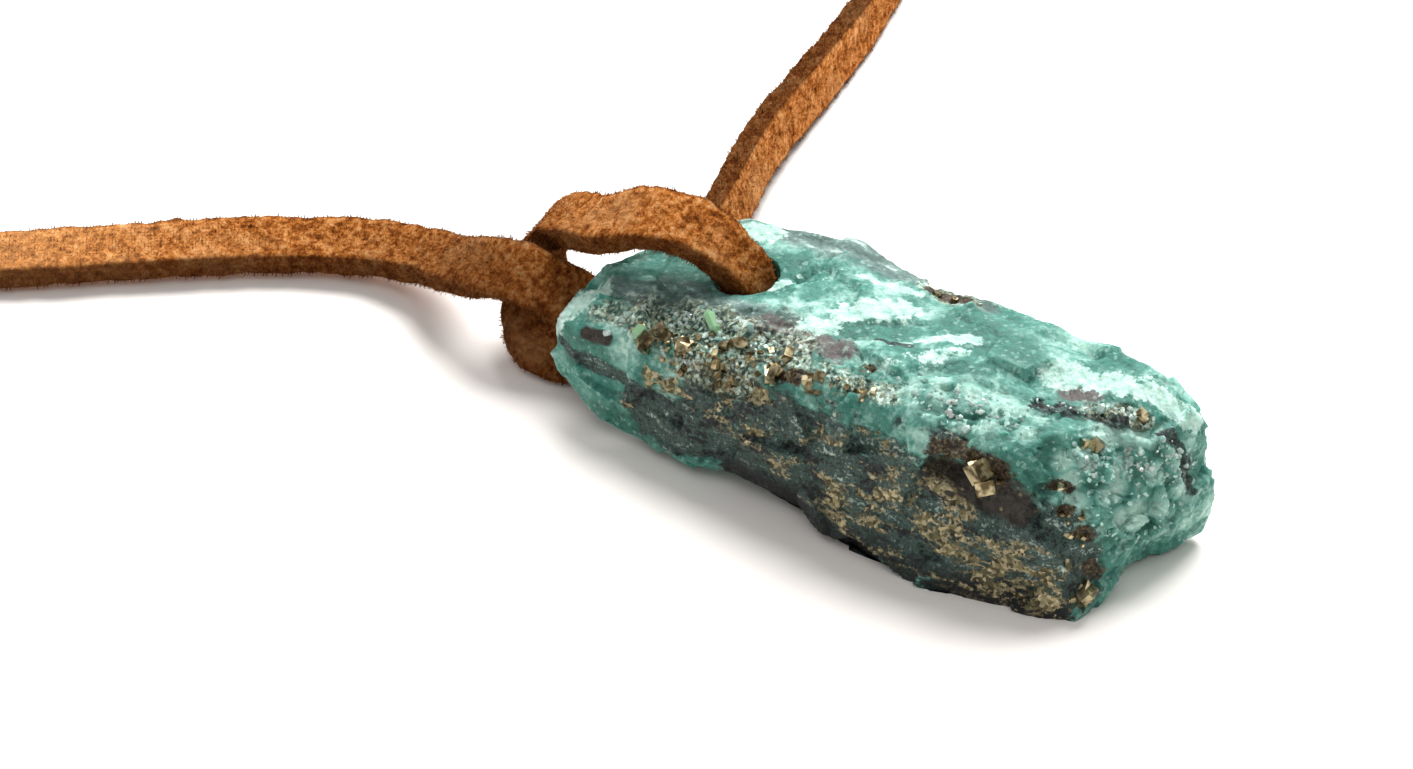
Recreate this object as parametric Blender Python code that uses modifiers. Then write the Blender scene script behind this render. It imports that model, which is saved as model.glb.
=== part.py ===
"""Rough emerald in matrix, drilled near one end and hung on a suede lace.

Run with: blender --background --python part.py, or from Blender's text editor.
World: metres, +Z up. The stone lies on its flat underside along +X, with the origin at
the bottom centre of its own box. Working sizes below are in millimetres, times MM.

The stone is one solid. Its broken edges run from the left end to the right, faces are
spanned between them, and each end is closed by rings that shrink to a middle point.
Seeded noise breaks the surface, cutters make its flat underside, drill hole and pits, and
the pyrite and quartz crystals that stand out of it are fused to it.

The lace is one strip of suede through the drilled hole. Its upper leg arches over the
stone's left end, drops behind the lower leg, comes back under it and leaves behind the
stone. The lower leg leaves to the left. Each leg ends in a coil that stands on edge.
"""
import itertools
import math

import bmesh
import bpy
import numpy as np
from mathutils import Euler, Vector

MM = 0.001

# Drill hole: vertical, near the left end, cut by a drill that is longer than it is deep.
HOLE_X, HOLE_Y = -7.4, 0.4
HOLE_R = 1.6
DRILL_LENGTH, DRILL_MIDDLE_Z, DRILL_SIDES = 24.0, 5.0, 32

# The stone's edges, left to right, as (x, y, z) where its broken faces meet.
FRONT_FOOT = [(-14.9, -4.8, 3.1), (-13.4, -5.2, 1.9), (-11.3, -5.3, 0.7), (-8.0, -5.2, 0.6),
              (-4.0, -5.0, 1.0), (-0.6, -5.3, 0.2), (3.0, -5.8, -0.3), (8.0, -5.4, -0.3),
              (13.6, -4.0, -0.2)]
FRONT_BELLY = [(-14.9, -4.6, 3.7), (-12.6, -5.3, 3.9), (-8.4, -5.6, 3.4), (-3.6, -5.7, 3.7),
               (0.6, -5.8, 3.8), (5.0, -5.7, 3.6), (9.2, -5.3, 3.6), (12.6, -4.3, 3.2)]
RIDGE = [(-15.1, -4.3, 4.7), (-13.2, -4.8, 5.3), (-9.4, -4.9, 5.9), (-6.5, -4.9, 6.4),
         (-3.7, -4.8, 6.8), (0.4, -4.9, 7.7), (4.4, -4.8, 7.7), (7.2, -4.4, 7.1),
         (10.2, -4.2, 7.6)]
CREST = [(-14.5, -1.0, 6.5), (-11.7, -1.2, 7.1), (-7.8, -1.5, 7.5), (-4.4, -1.3, 8.1),
         (0.0, -0.8, 8.3), (5.0, -0.6, 8.3), (9.0, -0.4, 8.1), (12.0, 0.0, 7.7)]
FAR_TOP = [(-9.8, 4.2, 8.2), (-5.0, 4.8, 8.0), (-1.6, 4.8, 7.9), (1.8, 4.5, 8.2),
           (4.4, 5.0, 8.0), (8.0, 4.6, 8.1), (12.4, 4.4, 7.8), (14.6, 4.0, 6.7)]
FAR_BELLY = [(-9.6, 4.9, 5.4), (-5.0, 5.8, 4.8), (0.0, 6.0, 4.4), (5.0, 6.0, 4.2),
             (10.0, 5.8, 4.3), (15.2, 4.5, 4.0)]
FAR_FOOT = [(-9.8, 4.1, 3.6), (-5.0, 4.7, 2.4), (0.0, 5.0, 0.3), (5.0, 5.0, -0.3),
            (10.0, 4.8, -0.3), (15.0, 4.2, 0.6)]
SOLE = [(-12.4, -0.6, 4.6), (-10.5, -0.4, 3.6), (-8.0, -0.2, 2.9), (-4.5, 0.0, 2.5),
        (-1.5, 0.0, 0.4), (4.0, 0.0, -0.4), (9.0, 0.2, -0.4), (13.5, 0.8, 0.3)]
EDGES = [FRONT_FOOT, FRONT_BELLY, RIDGE, CREST, FAR_TOP, FAR_BELLY, FAR_FOOT, SOLE]
LEFT_END_MIDDLE = (-13.0, -0.2, 5.0)
RIGHT_END_MIDDLE = (14.1, 0.0, 3.7)
END_BULGE = 0.4
UNDERSIDE_BLOCK = 60.0      # the cube whose top cuts the flat underside

STEPS_ALONG = 40    # rings from end to end
STEPS_ACROSS = 5    # on each face
END_RINGS = 5       # that close each end
ROUNDING = 0.45     # 0 keeps the edges sharp, 1 rounds the section right over

# Broken surface, as (size, height): smooth lumps, and flat tilted steps.
LUMPS = [(5.0, 0.34), (2.1, 0.20)]
STEPS = [(3.0, 0.5)]

# Pits, as (x, y, z), (radii), and the crystals, as (x, y, z), size, (turns in degrees).
PITS = [((8.1, -5.1, 6.2), (2.3, 0.9, 0.7)), ((12.6, -4.4, 4.6), (0.8, 0.7, 0.9)),
        ((14.0, -3.3, 3.0), (0.9, 0.9, 0.6))]
PYRITE = [((-2.1, -4.9, 7.0), 1.0, (20, 35, 10)), ((-0.2, -4.9, 7.4), 0.9, (35, 10, 50)),
          ((2.4, -4.6, 7.7), 0.8, (10, 40, 25)), ((8.9, -4.9, 6.3), 1.1, (15, 25, 40)),
          ((12.1, -2.2, 6.3), 0.8, (30, 20, 5)), ((-9.3, -4.8, 5.9), 0.8, (25, 50, 15)),
          ((-7.2, -4.7, 6.3), 0.9, (40, 15, 30)), ((-5.4, -4.8, 6.4), 0.7, (5, 30, 60)),
          ((13.6, -3.7, 1.1), 1.0, (30, 15, 20)), ((12.7, -3.6, 4.1), 0.7, (50, 20, 35))]

# Suede lace: a strip with cut corners, a little narrower inside the hole.
LACE_WIDTH, LACE_THICK = 3.0, 1.4
LACE_CORNER = 0.35
HOLE_SQUEEZE = 0.27     # share of its width that it loses inside the hole
SQUEEZE_REACH = 6.0     # how far along the strip that lasts
LACE_HALF = 450.0       # from the middle of the hole to each end
LACE_STEP = 1.8         # between sections
# Each leg's route, from the middle of the hole to its coil: (x, y, z), then the way that
# its broad face looks.
AHEAD = (1, 0, 0)
UPPER_LEG = [
    ((-7.15, 0.4, 4.5), AHEAD), ((-7.15, 0.4, 6.4), AHEAD), ((-7.4, 0.3, 7.8), (0.95, -0.1, 0.3)),
    ((-8.5, 0.0, 9.0), (0.6, -0.3, 0.75)), ((-10.2, -0.5, 9.8), (0.2, -0.42, 0.9)),
    ((-12.2, -0.9, 9.7), (0, -0.48, 0.88)), ((-14.4, -0.7, 8.45), (-0.3, -0.4, 0.87)),
    ((-16.7, 0.1, 7.3), (-0.55, -0.2, 0.8)), ((-18.7, 0.9, 6.2), (-0.85, -0.1, 0.5)),
    ((-19.8, 1.3, 4.9), (-1, -0.1, 0.1)), ((-20.1, 0.9, 3.4), (-1, 0, -0.1)),
    ((-19.5, -0.4, 2.1), (-0.8, 0.1, -0.6)), ((-18.5, -1.7, 1.35), (-0.3, 0.1, -0.95)),
    ((-17.2, -2.3, 1.0), (0, 0, -1)), ((-15.9, -1.8, 0.8), (0, 0, -1)),
    ((-15.0, -0.1, 0.8), (0, 0, -1)), ((-14.6, 2.2, 0.85), (-0.08, 0, -1)),
    ((-14.4, 4.8, 1.2), (-0.35, 0, -0.93)), ((-14.7, 7.2, 1.9), (-0.8, 0, -0.6)),
    ((-15.6, 9.8, 2.5), (-0.95, -0.2, -0.3)), ((-17.0, 13.2, 2.4), (-0.97, -0.3, -0.2)),
    ((-18.5, 17.0, 2.1), (-0.97, -0.3, -0.17)), ((-19.6, 20.7, 1.9), (-0.97, -0.3, -0.15)),
    ((-20.6, 25.0, 1.7), (-0.97, -0.25, -0.12)), ((-21.9, 30.6, 1.6), (-0.97, -0.25, -0.1)),
    ((-23.2, 35.4, 1.6), (-0.95, -0.25, 0)), ((-25.0, 39.6, 1.6), (-0.8, -0.6, 0)),
    ((-29.5, 41.6, 1.6), (-0.05, -1, 0)), ((-36.0, 40.9, 1.6), (0.15, -1, 0)),
    ((-46.0, 37.8, 1.6), (0.3, -1, 0)), ((-56.0, 32.5, 2.0), (0.45, -1, 0)),
    ((-65.0, 27.0, 3.3), (0.45, -1, 0)), ((-72.5, 23.2, 4.5), (0.35, -1, 0)),
    ((-79.0, 21.2, 4.85), (0.2, -1, 0))]
LOWER_LEG = [
    ((-7.15, 0.4, 4.1), AHEAD), ((-7.15, 0.4, 3.1), AHEAD), ((-7.6, 0.35, 1.7), (0.75, 0, 0.65)),
    ((-9.0, 0.2, 0.95), (0.15, 0, 1)), ((-11.0, -0.2, 1.0), (0.1, 0, 1)),
    ((-12.6, -0.4, 2.0), (0.5, 0, 0.85)), ((-13.9, -0.7, 2.8), (0.4, 0, 0.85)),
    ((-15.3, -1.2, 3.5), (0.35, -0.2, 0.85)), ((-16.8, -1.9, 4.4), (0.2, -0.55, 0.8)),
    ((-18.3, -2.4, 5.0), (0, -0.75, 0.7)), ((-20.5, -2.4, 4.6), (-0.1, -0.65, 0.8)),
    ((-23.3, -1.5, 3.2), (-0.1, -0.4, 0.9)),
    ((-26.3, -0.6, 2.1), (0.05, -0.3, 0.95)), ((-29.4, -0.9, 1.55), (0.1, -0.25, 0.95)),
    ((-33.0, -2.8, 1.35), (0.15, -0.2, 0.95)), ((-36.8, -5.8, 1.35), (0.15, -0.2, 0.95)),
    ((-40.5, -9.1, 1.3), (0.15, -0.2, 0.95)), ((-44.2, -12.4, 1.25), (0.15, -0.2, 0.95)),
    ((-49.0, -15.7, 1.3), (0.2, -0.45, 0.85)), ((-56.0, -17.4, 1.5), (0.05, -0.85, 0.5)),
    ((-64.0, -17.6, 1.55), (0, -1, 0.15)), ((-74.0, -17.3, 1.55), (0, -1, 0))]

# Each coil: turns of the strip on edge, a little more than its thickness apart.
COIL_X, COIL_Y = -82.8, 0.6
COIL_RADIUS = 15.0      # at the middle of its turns
COIL_PITCH = 1.55
COIL_LIFT = 0.05        # of the lower coil, above the floor
COIL_GAP = 0.3          # between the two coils
COIL_STEPS = 48


def smooth_line(points, count):
    """Count points on a Catmull-Rom curve through points, evenly spaced along it."""
    p = np.array(points, float)
    p = np.vstack([2 * p[0] - p[1], p, 2 * p[-1] - p[-2]])
    t = np.linspace(0, len(points) - 1, 24 * len(points))
    i = np.minimum(t.astype(int), len(points) - 2)
    fine = between(p[i], p[i + 1], p[i + 2], p[i + 3], (t - i)[:, None])
    run = np.r_[0, np.cumsum(np.linalg.norm(np.diff(fine[:, :3], axis=0), axis=1))]
    even = np.linspace(0, run[-1], count)
    return np.stack([np.interp(even, run, column) for column in fine.T], 1)


def between(a, b, c, d, f):
    """The Catmull-Rom curve from b to c, a share f of the way along."""
    return 0.5 * (2 * b + (c - a) * f + (2 * a - 5 * b + 4 * c - d) * f**2
                  + (3 * b - a - 3 * c + d) * f**3)


def length_of(points):
    return float(np.linalg.norm(np.diff(np.array(points, float), axis=0), axis=1).sum())


def solid(name, vertices, faces, material, collection):
    """An object of one mesh in metres, its faces turned outwards."""
    mesh = bpy.data.meshes.new(name)
    mesh.from_pydata((np.asarray(vertices) * MM).tolist(), [], faces)
    mesh.materials.append(material)
    bm = bmesh.new()
    bm.from_mesh(mesh)
    bmesh.ops.recalc_face_normals(bm, faces=bm.faces)
    bm.to_mesh(mesh)
    bm.free()
    piece = bpy.data.objects.new(name, mesh)
    collection.objects.link(piece)
    return piece


def grid_faces(rows, columns):
    """Quads of a grid whose columns close round."""
    return [(r * columns + c, r * columns + (c + 1) % columns,
             (r + 1) * columns + (c + 1) % columns, (r + 1) * columns + c)
            for r in range(rows - 1) for c in range(columns)]


def material(name, colour, roughness, metallic=0.0):
    made = bpy.data.materials.new(name)
    made.use_nodes = True
    shader = made.node_tree.nodes["Principled BSDF"]
    shader.inputs["Base Color"].default_value = (*colour, 1.0)
    shader.inputs["Roughness"].default_value = roughness
    shader.inputs["Metallic"].default_value = metallic
    return made


def stone_rings():
    """The stone's outlines from end to end, as an array (ring, point, xyz)."""
    edges = np.stack([smooth_line(edge, STEPS_ALONG) for edge in EDGES], 1)
    before, after, next_after = (np.roll(edges, -k, axis=1) for k in (-1, 1, 2))
    share = (np.arange(STEPS_ACROSS) / STEPS_ACROSS)[:, None]
    flat = edges[:, :, None] + (after - edges)[:, :, None] * share
    rounded = between(*(x[:, :, None] for x in (before, edges, after, next_after)), share)
    body = (flat + (rounded - flat) * ROUNDING).reshape(STEPS_ALONG, -1, 3)
    left = end_rings(body[0], LEFT_END_MIDDLE, -END_BULGE)[::-1]
    right = end_rings(body[-1], RIGHT_END_MIDDLE, END_BULGE)
    return np.concatenate([left, body, right])


def end_rings(outline, middle, bulge):
    """Rings that shrink from an end's outline towards its middle, standing out by bulge."""
    share = (np.arange(1, END_RINGS) / END_RINGS)[:, None, None]
    rings = outline * (1 - share) + np.array(middle) * share
    rings[:, :, 0] += bulge * np.sin(np.pi / 2 * share[:, :, 0])
    return rings


def scramble(cells, salt):
    """A repeatable number from 0 to 1 for each cell of whole numbers.

    Its three numbers are multiplied by large primes and mixed bit by bit.
    """
    n = cells.astype(np.int64)
    mixed = n[..., 0] * 73856093 ^ n[..., 1] * 19349663 ^ n[..., 2] * 83492791
    mixed = (mixed + salt * 668265263) & 0x7FFFFFFF
    mixed = (mixed ^ mixed >> 13) * 1274126177 & 0x7FFFFFFF
    mixed = (mixed ^ mixed >> 15) * 2246822519 & 0x7FFFFFFF
    return (mixed ^ mixed >> 16 & 0xFFFF) % 65536 / 65535


def smooth_noise(points, size, salt):
    """Value noise, -1 to 1: numbers at the corners of cells of a size, eased by 3t² - 2t³."""
    at = points / size
    cell = np.floor(at)
    t = at - cell
    t = t * t * (3 - 2 * t)
    total = np.zeros(len(points))
    for corner in itertools.product((0, 1), repeat=3):
        total += np.where(corner, t, 1 - t).prod(axis=1) * scramble(cell + corner, salt)
    return 2 * total - 1


def nearest_seed(points, size, salt):
    """Of one seed scattered in each cell, the nearest: the way to it, and its cell."""
    at = points / size
    home = np.floor(at)
    best = np.full(len(points), np.inf)
    away, cell = np.zeros_like(at), np.zeros_like(at)
    for step in itertools.product((-1, 0, 1), repeat=3):
        here = home + step
        seed = here + np.stack([scramble(here, salt + k) for k in range(3)], 1)
        offset = at - seed
        far = (offset**2).sum(1)
        closer = far < best
        best[closer], away[closer], cell[closer] = far[closer], offset[closer], here[closer]
    return away, cell


def flat_steps(points, size, salt):
    """Broken facets: around each seed the height rises evenly along the seed's own way."""
    away, cell = nearest_seed(points, size, salt)
    lean = np.stack([scramble(cell, salt + 5 + k) for k in range(3)], 1) * 2 - 1
    return (away * lean).sum(1)


def broken(points, out):
    """Moves the surface out and in by its lumps and by its flat tilted steps."""
    move = sum(height * smooth_noise(points, size, salt)
               for salt, (size, height) in enumerate(LUMPS, 1))
    move += sum(height * flat_steps(points, size, salt)
                for salt, (size, height) in enumerate(STEPS, 11))
    return points + out * move[:, None]


def outward_of(rings):
    """Unit directions out of a closed stack of rings, from its two families of edges."""
    along = np.gradient(rings, axis=0)
    around = (np.roll(rings, -1, axis=1) - np.roll(rings, 1, axis=1)) / 2
    return unit(np.cross(along, around))


def unit(vectors):
    return vectors / np.linalg.norm(vectors, axis=-1, keepdims=True)


def make_stone(finish, parts, cutters):
    rings = stone_rings()
    rows, columns = rings.shape[:2]
    points = broken(rings.reshape(-1, 3), outward_of(rings).reshape(-1, 3))
    ends = [np.array(LEFT_END_MIDDLE) - (END_BULGE, 0, 0),
            np.array(RIGHT_END_MIDDLE) + (END_BULGE, 0, 0)]
    faces = grid_faces(rows, columns)
    left, right, last = rows * columns, rows * columns + 1, (rows - 1) * columns
    faces += [(left, (c + 1) % columns, c) for c in range(columns)]
    faces += [(right, last + c, last + (c + 1) % columns) for c in range(columns)]
    stone = solid("stone", np.vstack([points, ends]), faces, finish, parts)

    for name, operation, shapes in (("underside", "DIFFERENCE", [underside_block()]),
                                    ("drill", "DIFFERENCE", [drill()]),
                                    ("pits", "DIFFERENCE", [pit(*p) for p in PITS]),
                                    ("crystals", "UNION", [crystal(*p) for p in PYRITE])):
        cut = stone.modifiers.new(name, "BOOLEAN")
        cut.operation = operation
        cut.object = cutter(name, shapes, cutters)


def cutter(name, shapes, cutters):
    """Several bmesh shapes as one object that cuts or is fused."""
    mesh = bpy.data.meshes.new(name)
    whole = bmesh.new()
    for shape in shapes:
        shape.to_mesh(mesh)
        whole.from_mesh(mesh)
        shape.free()
    whole.to_mesh(mesh)
    whole.free()
    made = bpy.data.objects.new(name, mesh)
    cutters.objects.link(made)
    made.hide_render = True
    made.display_type = "WIRE"
    return made


def underside_block():
    cube = bmesh.new()
    bmesh.ops.create_cube(cube, size=UNDERSIDE_BLOCK * MM)
    bmesh.ops.translate(cube, vec=(0, 0, -UNDERSIDE_BLOCK / 2 * MM), verts=cube.verts)
    return cube


def drill():
    bit = bmesh.new()
    bmesh.ops.create_cone(bit, cap_ends=True, segments=DRILL_SIDES, radius1=HOLE_R * MM,
                          radius2=HOLE_R * MM, depth=DRILL_LENGTH * MM)
    middle = Vector((HOLE_X, HOLE_Y, DRILL_MIDDLE_Z)) * MM
    bmesh.ops.translate(bit, vec=middle, verts=bit.verts)
    return bit


def pit(place, radii):
    ball = bmesh.new()
    bmesh.ops.create_icosphere(ball, subdivisions=2, radius=1.0)
    bmesh.ops.scale(ball, vec=Vector(radii) * MM, verts=ball.verts)
    bmesh.ops.translate(ball, vec=Vector(place) * MM, verts=ball.verts)
    return ball


def crystal(place, size, turns):
    cube = bmesh.new()
    bmesh.ops.create_cube(cube, size=size * MM)
    turned = Euler([math.radians(t) for t in turns]).to_matrix()
    bmesh.ops.rotate(cube, cent=(0, 0, 0), matrix=turned, verts=cube.verts)
    bmesh.ops.translate(cube, vec=Vector(place) * MM, verts=cube.verts)
    return cube


def lace_section():
    """The strip's outline as (across, out of its face), a rectangle with cut corners."""
    w, t, c = LACE_WIDTH / 2, LACE_THICK / 2, LACE_CORNER
    return np.array([(w, -t + c), (w, t - c), (w - c, t), (-w + c, t),
                     (-w, t - c), (-w, -t + c), (-w + c, -t), (w - c, -t)])


def make_leg(name, route, finish, parts):
    """A strip carried along a route, its broad face looking the given way at each point."""
    count = int(length_of([place for place, _ in route]) / LACE_STEP) + 1
    line = smooth_line([(*place, *look) for place, look in route], count)
    path, look = line[:, :3], line[:, 3:]
    ahead = unit(np.gradient(path, axis=0))
    look = unit(look - ahead * (look * ahead).sum(1, keepdims=True))
    run = np.r_[0, np.cumsum(np.linalg.norm(np.diff(path, axis=0), axis=1))]
    squeeze = 1 - HOLE_SQUEEZE * np.exp(-(run / SQUEEZE_REACH) ** 4)
    side = np.cross(look, ahead) * squeeze[:, None]
    section = lace_section()
    points = (path[:, None] + section[:, :1] * side[:, None] + section[:, 1:] * look[:, None])
    corners = len(section)
    faces = grid_faces(count, corners)
    faces += [tuple(range(corners)), tuple(range((count - 1) * corners, count * corners))]
    return solid(name, points.reshape(-1, 3), faces, finish, parts)


def make_coil(name, route, floor, finish, parts):
    """The turned outer shape of a coil that holds the rest of a leg's length."""
    rest = LACE_HALF - length_of([place for place, _ in route])
    spread = rest / (2 * math.pi * COIL_RADIUS) * COIL_PITCH / 2 + LACE_THICK / 2
    low, high = floor, floor + LACE_WIDTH
    inner, outer = COIL_RADIUS - spread, COIL_RADIUS + spread
    profile = [(outer, high), (outer, low), (inner, low), (inner, high)]
    mesh = bpy.data.meshes.new(name)
    mesh.from_pydata([(r * MM, 0, z * MM) for r, z in profile],
                     [(0, 1), (1, 2), (2, 3), (3, 0)], [])
    mesh.materials.append(finish)
    coil = bpy.data.objects.new(name, mesh)
    parts.objects.link(coil)
    coil.location = (COIL_X * MM, COIL_Y * MM, 0)
    turn = coil.modifiers.new("turn", "SCREW")
    turn.steps = turn.render_steps = COIL_STEPS
    turn.use_merge_vertices = True
    turn.merge_threshold = 0.00001
    return coil


def main():
    for old in list(bpy.data.objects):
        bpy.data.objects.remove(old)
    parts = bpy.data.collections.new("emerald_in_matrix")
    cutters = bpy.data.collections.new("cutters")
    for collection in (parts, cutters):
        bpy.context.scene.collection.children.link(collection)

    emerald = material("emerald in quartz and mica matrix", (0.12, 0.32, 0.26), 0.4)
    suede = material("brown suede", (0.36, 0.14, 0.04), 0.95)
    make_stone(emerald, parts, cutters)
    make_leg("lace_upper", UPPER_LEG, suede, parts)
    make_leg("lace_lower", LOWER_LEG, suede, parts)
    make_coil("lace_lower_coil", LOWER_LEG, COIL_LIFT, suede, parts)
    make_coil("lace_upper_coil", UPPER_LEG, COIL_LIFT + LACE_WIDTH + COIL_GAP, suede, parts)


main()
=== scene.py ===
"""A rough emerald in matrix, drilled near one end and knotted on a brown suede lace.

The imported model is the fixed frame. Every piece here is worked out with numpy in its place,
in metres, from sizes written in millimetres. The stone is a fine closed surface spanned
between its broken edges, with pits, pockets and crystal grain. Pyrite, quartz and beryl
crystals stand on it. The lace is one strip of suede, drawn as its two legs, each from the
middle of the drill hole to the end of its coil.
"""
import itertools
import math

import bpy
import numpy as np
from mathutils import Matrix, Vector


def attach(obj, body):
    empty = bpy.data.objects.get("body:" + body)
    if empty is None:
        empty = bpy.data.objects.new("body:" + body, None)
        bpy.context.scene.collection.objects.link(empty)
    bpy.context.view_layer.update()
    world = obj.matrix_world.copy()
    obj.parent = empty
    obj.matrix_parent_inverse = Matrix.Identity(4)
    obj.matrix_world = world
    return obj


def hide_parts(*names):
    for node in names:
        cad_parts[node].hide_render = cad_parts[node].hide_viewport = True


bl_info = {
    "name": "Emerald in matrix",
    "version": (1, 0, 0),
    "blender": (4, 5, 0),
    "location": "3D View > Sidebar > Emerald",
    "description": "Dresses a rough emerald in matrix and its suede lace",
    "category": "Object",
}

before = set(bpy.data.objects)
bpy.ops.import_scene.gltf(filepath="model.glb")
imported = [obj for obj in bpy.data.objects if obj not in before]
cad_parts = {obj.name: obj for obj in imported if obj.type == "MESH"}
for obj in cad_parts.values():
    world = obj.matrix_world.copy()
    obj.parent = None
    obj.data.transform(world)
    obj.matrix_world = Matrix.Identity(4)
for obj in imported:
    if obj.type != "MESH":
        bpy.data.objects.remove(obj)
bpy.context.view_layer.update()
BODY = "root"
MM = 0.001

# The stone's edges, left to right, as (x, y, z) where its broken faces meet.
FRONT_FOOT = [(-14.9, -4.8, 3.1), (-13.4, -5.2, 1.9), (-11.3, -5.3, 0.7), (-8, -5.2, 0.6),
    (-4, -5, 1), (-0.6, -5.3, 0.2), (3, -5.8, -0.3), (8, -5.4, -0.3), (13.6, -4, -0.2)]
FRONT_BELLY = [(-14.9, -4.6, 3.7), (-12.6, -5.3, 3.9), (-8.4, -5.6, 3.4), (-3.6, -5.7, 3.7),
    (0.6, -5.8, 3.8), (5, -5.7, 3.6), (9.2, -5.3, 3.6), (12.6, -4.3, 3.2)]
RIDGE = [(-15.1, -4.3, 4.7), (-13.2, -4.8, 5.3), (-9.4, -4.9, 5.9), (-6.5, -4.9, 6.4),
    (-3.7, -4.8, 6.8), (0.4, -4.9, 7.7), (4.4, -4.8, 7.7), (7.2, -4.4, 7.1), (10.2, -4.2, 7.6)]
CREST = [(-14.5, -1, 6.5), (-11.7, -1.2, 7.1), (-7.8, -1.5, 7.5), (-4.4, -1.3, 8.1),
    (0, -0.8, 8.3), (5, -0.6, 8.3), (9, -0.4, 8.1), (12, 0, 7.7)]
FAR_TOP = [(-9.8, 4.2, 8.2), (-5, 4.8, 8), (-1.6, 4.8, 7.9), (1.8, 4.5, 8.2), (4.4, 5, 8),
    (8, 4.6, 8.1), (12.4, 4.4, 7.8), (14.6, 4, 6.7)]
FAR_BELLY = [(-9.6, 4.9, 5.4), (-5, 5.8, 4.8), (0, 6, 4.4), (5, 6, 4.2), (10, 5.8, 4.3),
    (15.2, 4.5, 4)]
FAR_FOOT = [(-9.8, 4.1, 3.6), (-5, 4.7, 2.4), (0, 5, 0.3), (5, 5, -0.3), (10, 4.8, -0.3),
    (15, 4.2, 0.6)]
SOLE = [(-12.4, -0.6, 4.6), (-10.5, -0.4, 3.6), (-8, -0.2, 2.9), (-4.5, 0, 2.5), (-1.5, 0, 0.4),
    (4, 0, -0.4), (9, 0.2, -0.4), (13.5, 0.8, 0.3)]
EDGES = [FRONT_FOOT, FRONT_BELLY, RIDGE, CREST, FAR_TOP, FAR_BELLY, FAR_FOOT, SOLE]
LEFT_END_MIDDLE = (-13.0, -0.2, 5.0)
RIGHT_END_MIDDLE = (14.1, 0.0, 3.7)
END_BULGE = 0.4
ROUNDING = 0.45  # 0 keeps the edges sharp, 1 rounds the section right over
STEPS_ALONG = 210  # rings from end to end
STEPS_ACROSS = 38  # on each face
END_RINGS = 42  # that close each end
STRETCH_POINTS = 60  # that a curve has for each point it passes through

# Broken surface, as (size, height): the smooth lumps and flat steps of the whole piece,
# then the finer steps and grains that only show close to. A salt starts its random order.
LUMPS, LUMP_SALT = [(5.0, 0.34), (2.1, 0.20)], 1
STEPS, STEP_SALT = [(3.0, 0.5)], 11
FINE_STEPS, FINE_SALT = [(1.5, 0.26), (0.7, 0.15), (0.34, 0.07)], 21
LEAN_SALT = 5  # added, for the way that each flat step leans
GRAIN_SIZE, GRAIN_HEIGHT, GRAIN_SALT = 0.45, 0.08, 31
GLOBE_SIZE, GLOBE_HEIGHT, GLOBE_SALT = 1.1, 0.45, 41
GLOBE_SINK = 0.6  # of a globe's height is lost below the surface
SMOOTH_SHARE = 0.3  # of the fine relief, away from the crystalline places
RIM_RISE = 3  # how much faster relief rises from a stroke's rim than closeness
FAR_OFF = -2.0  # the least closeness

# Drill hole: its middle, its radius, and the pits and pockets as (middle), (radii).
HOLE_X, HOLE_Y, HOLE_R = -7.4, 0.4, 1.6
HOLE_SIDES, HOLE_DEPTH = 48, 24.0
PITS = [((8.1, -5.1, 6.2), (2.3, 0.9, 0.7)), ((12.6, -4.4, 4.6), (0.8, 0.7, 0.9)),
        ((14.0, -3.3, 3.0), (0.9, 0.9, 0.6))]

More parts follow.
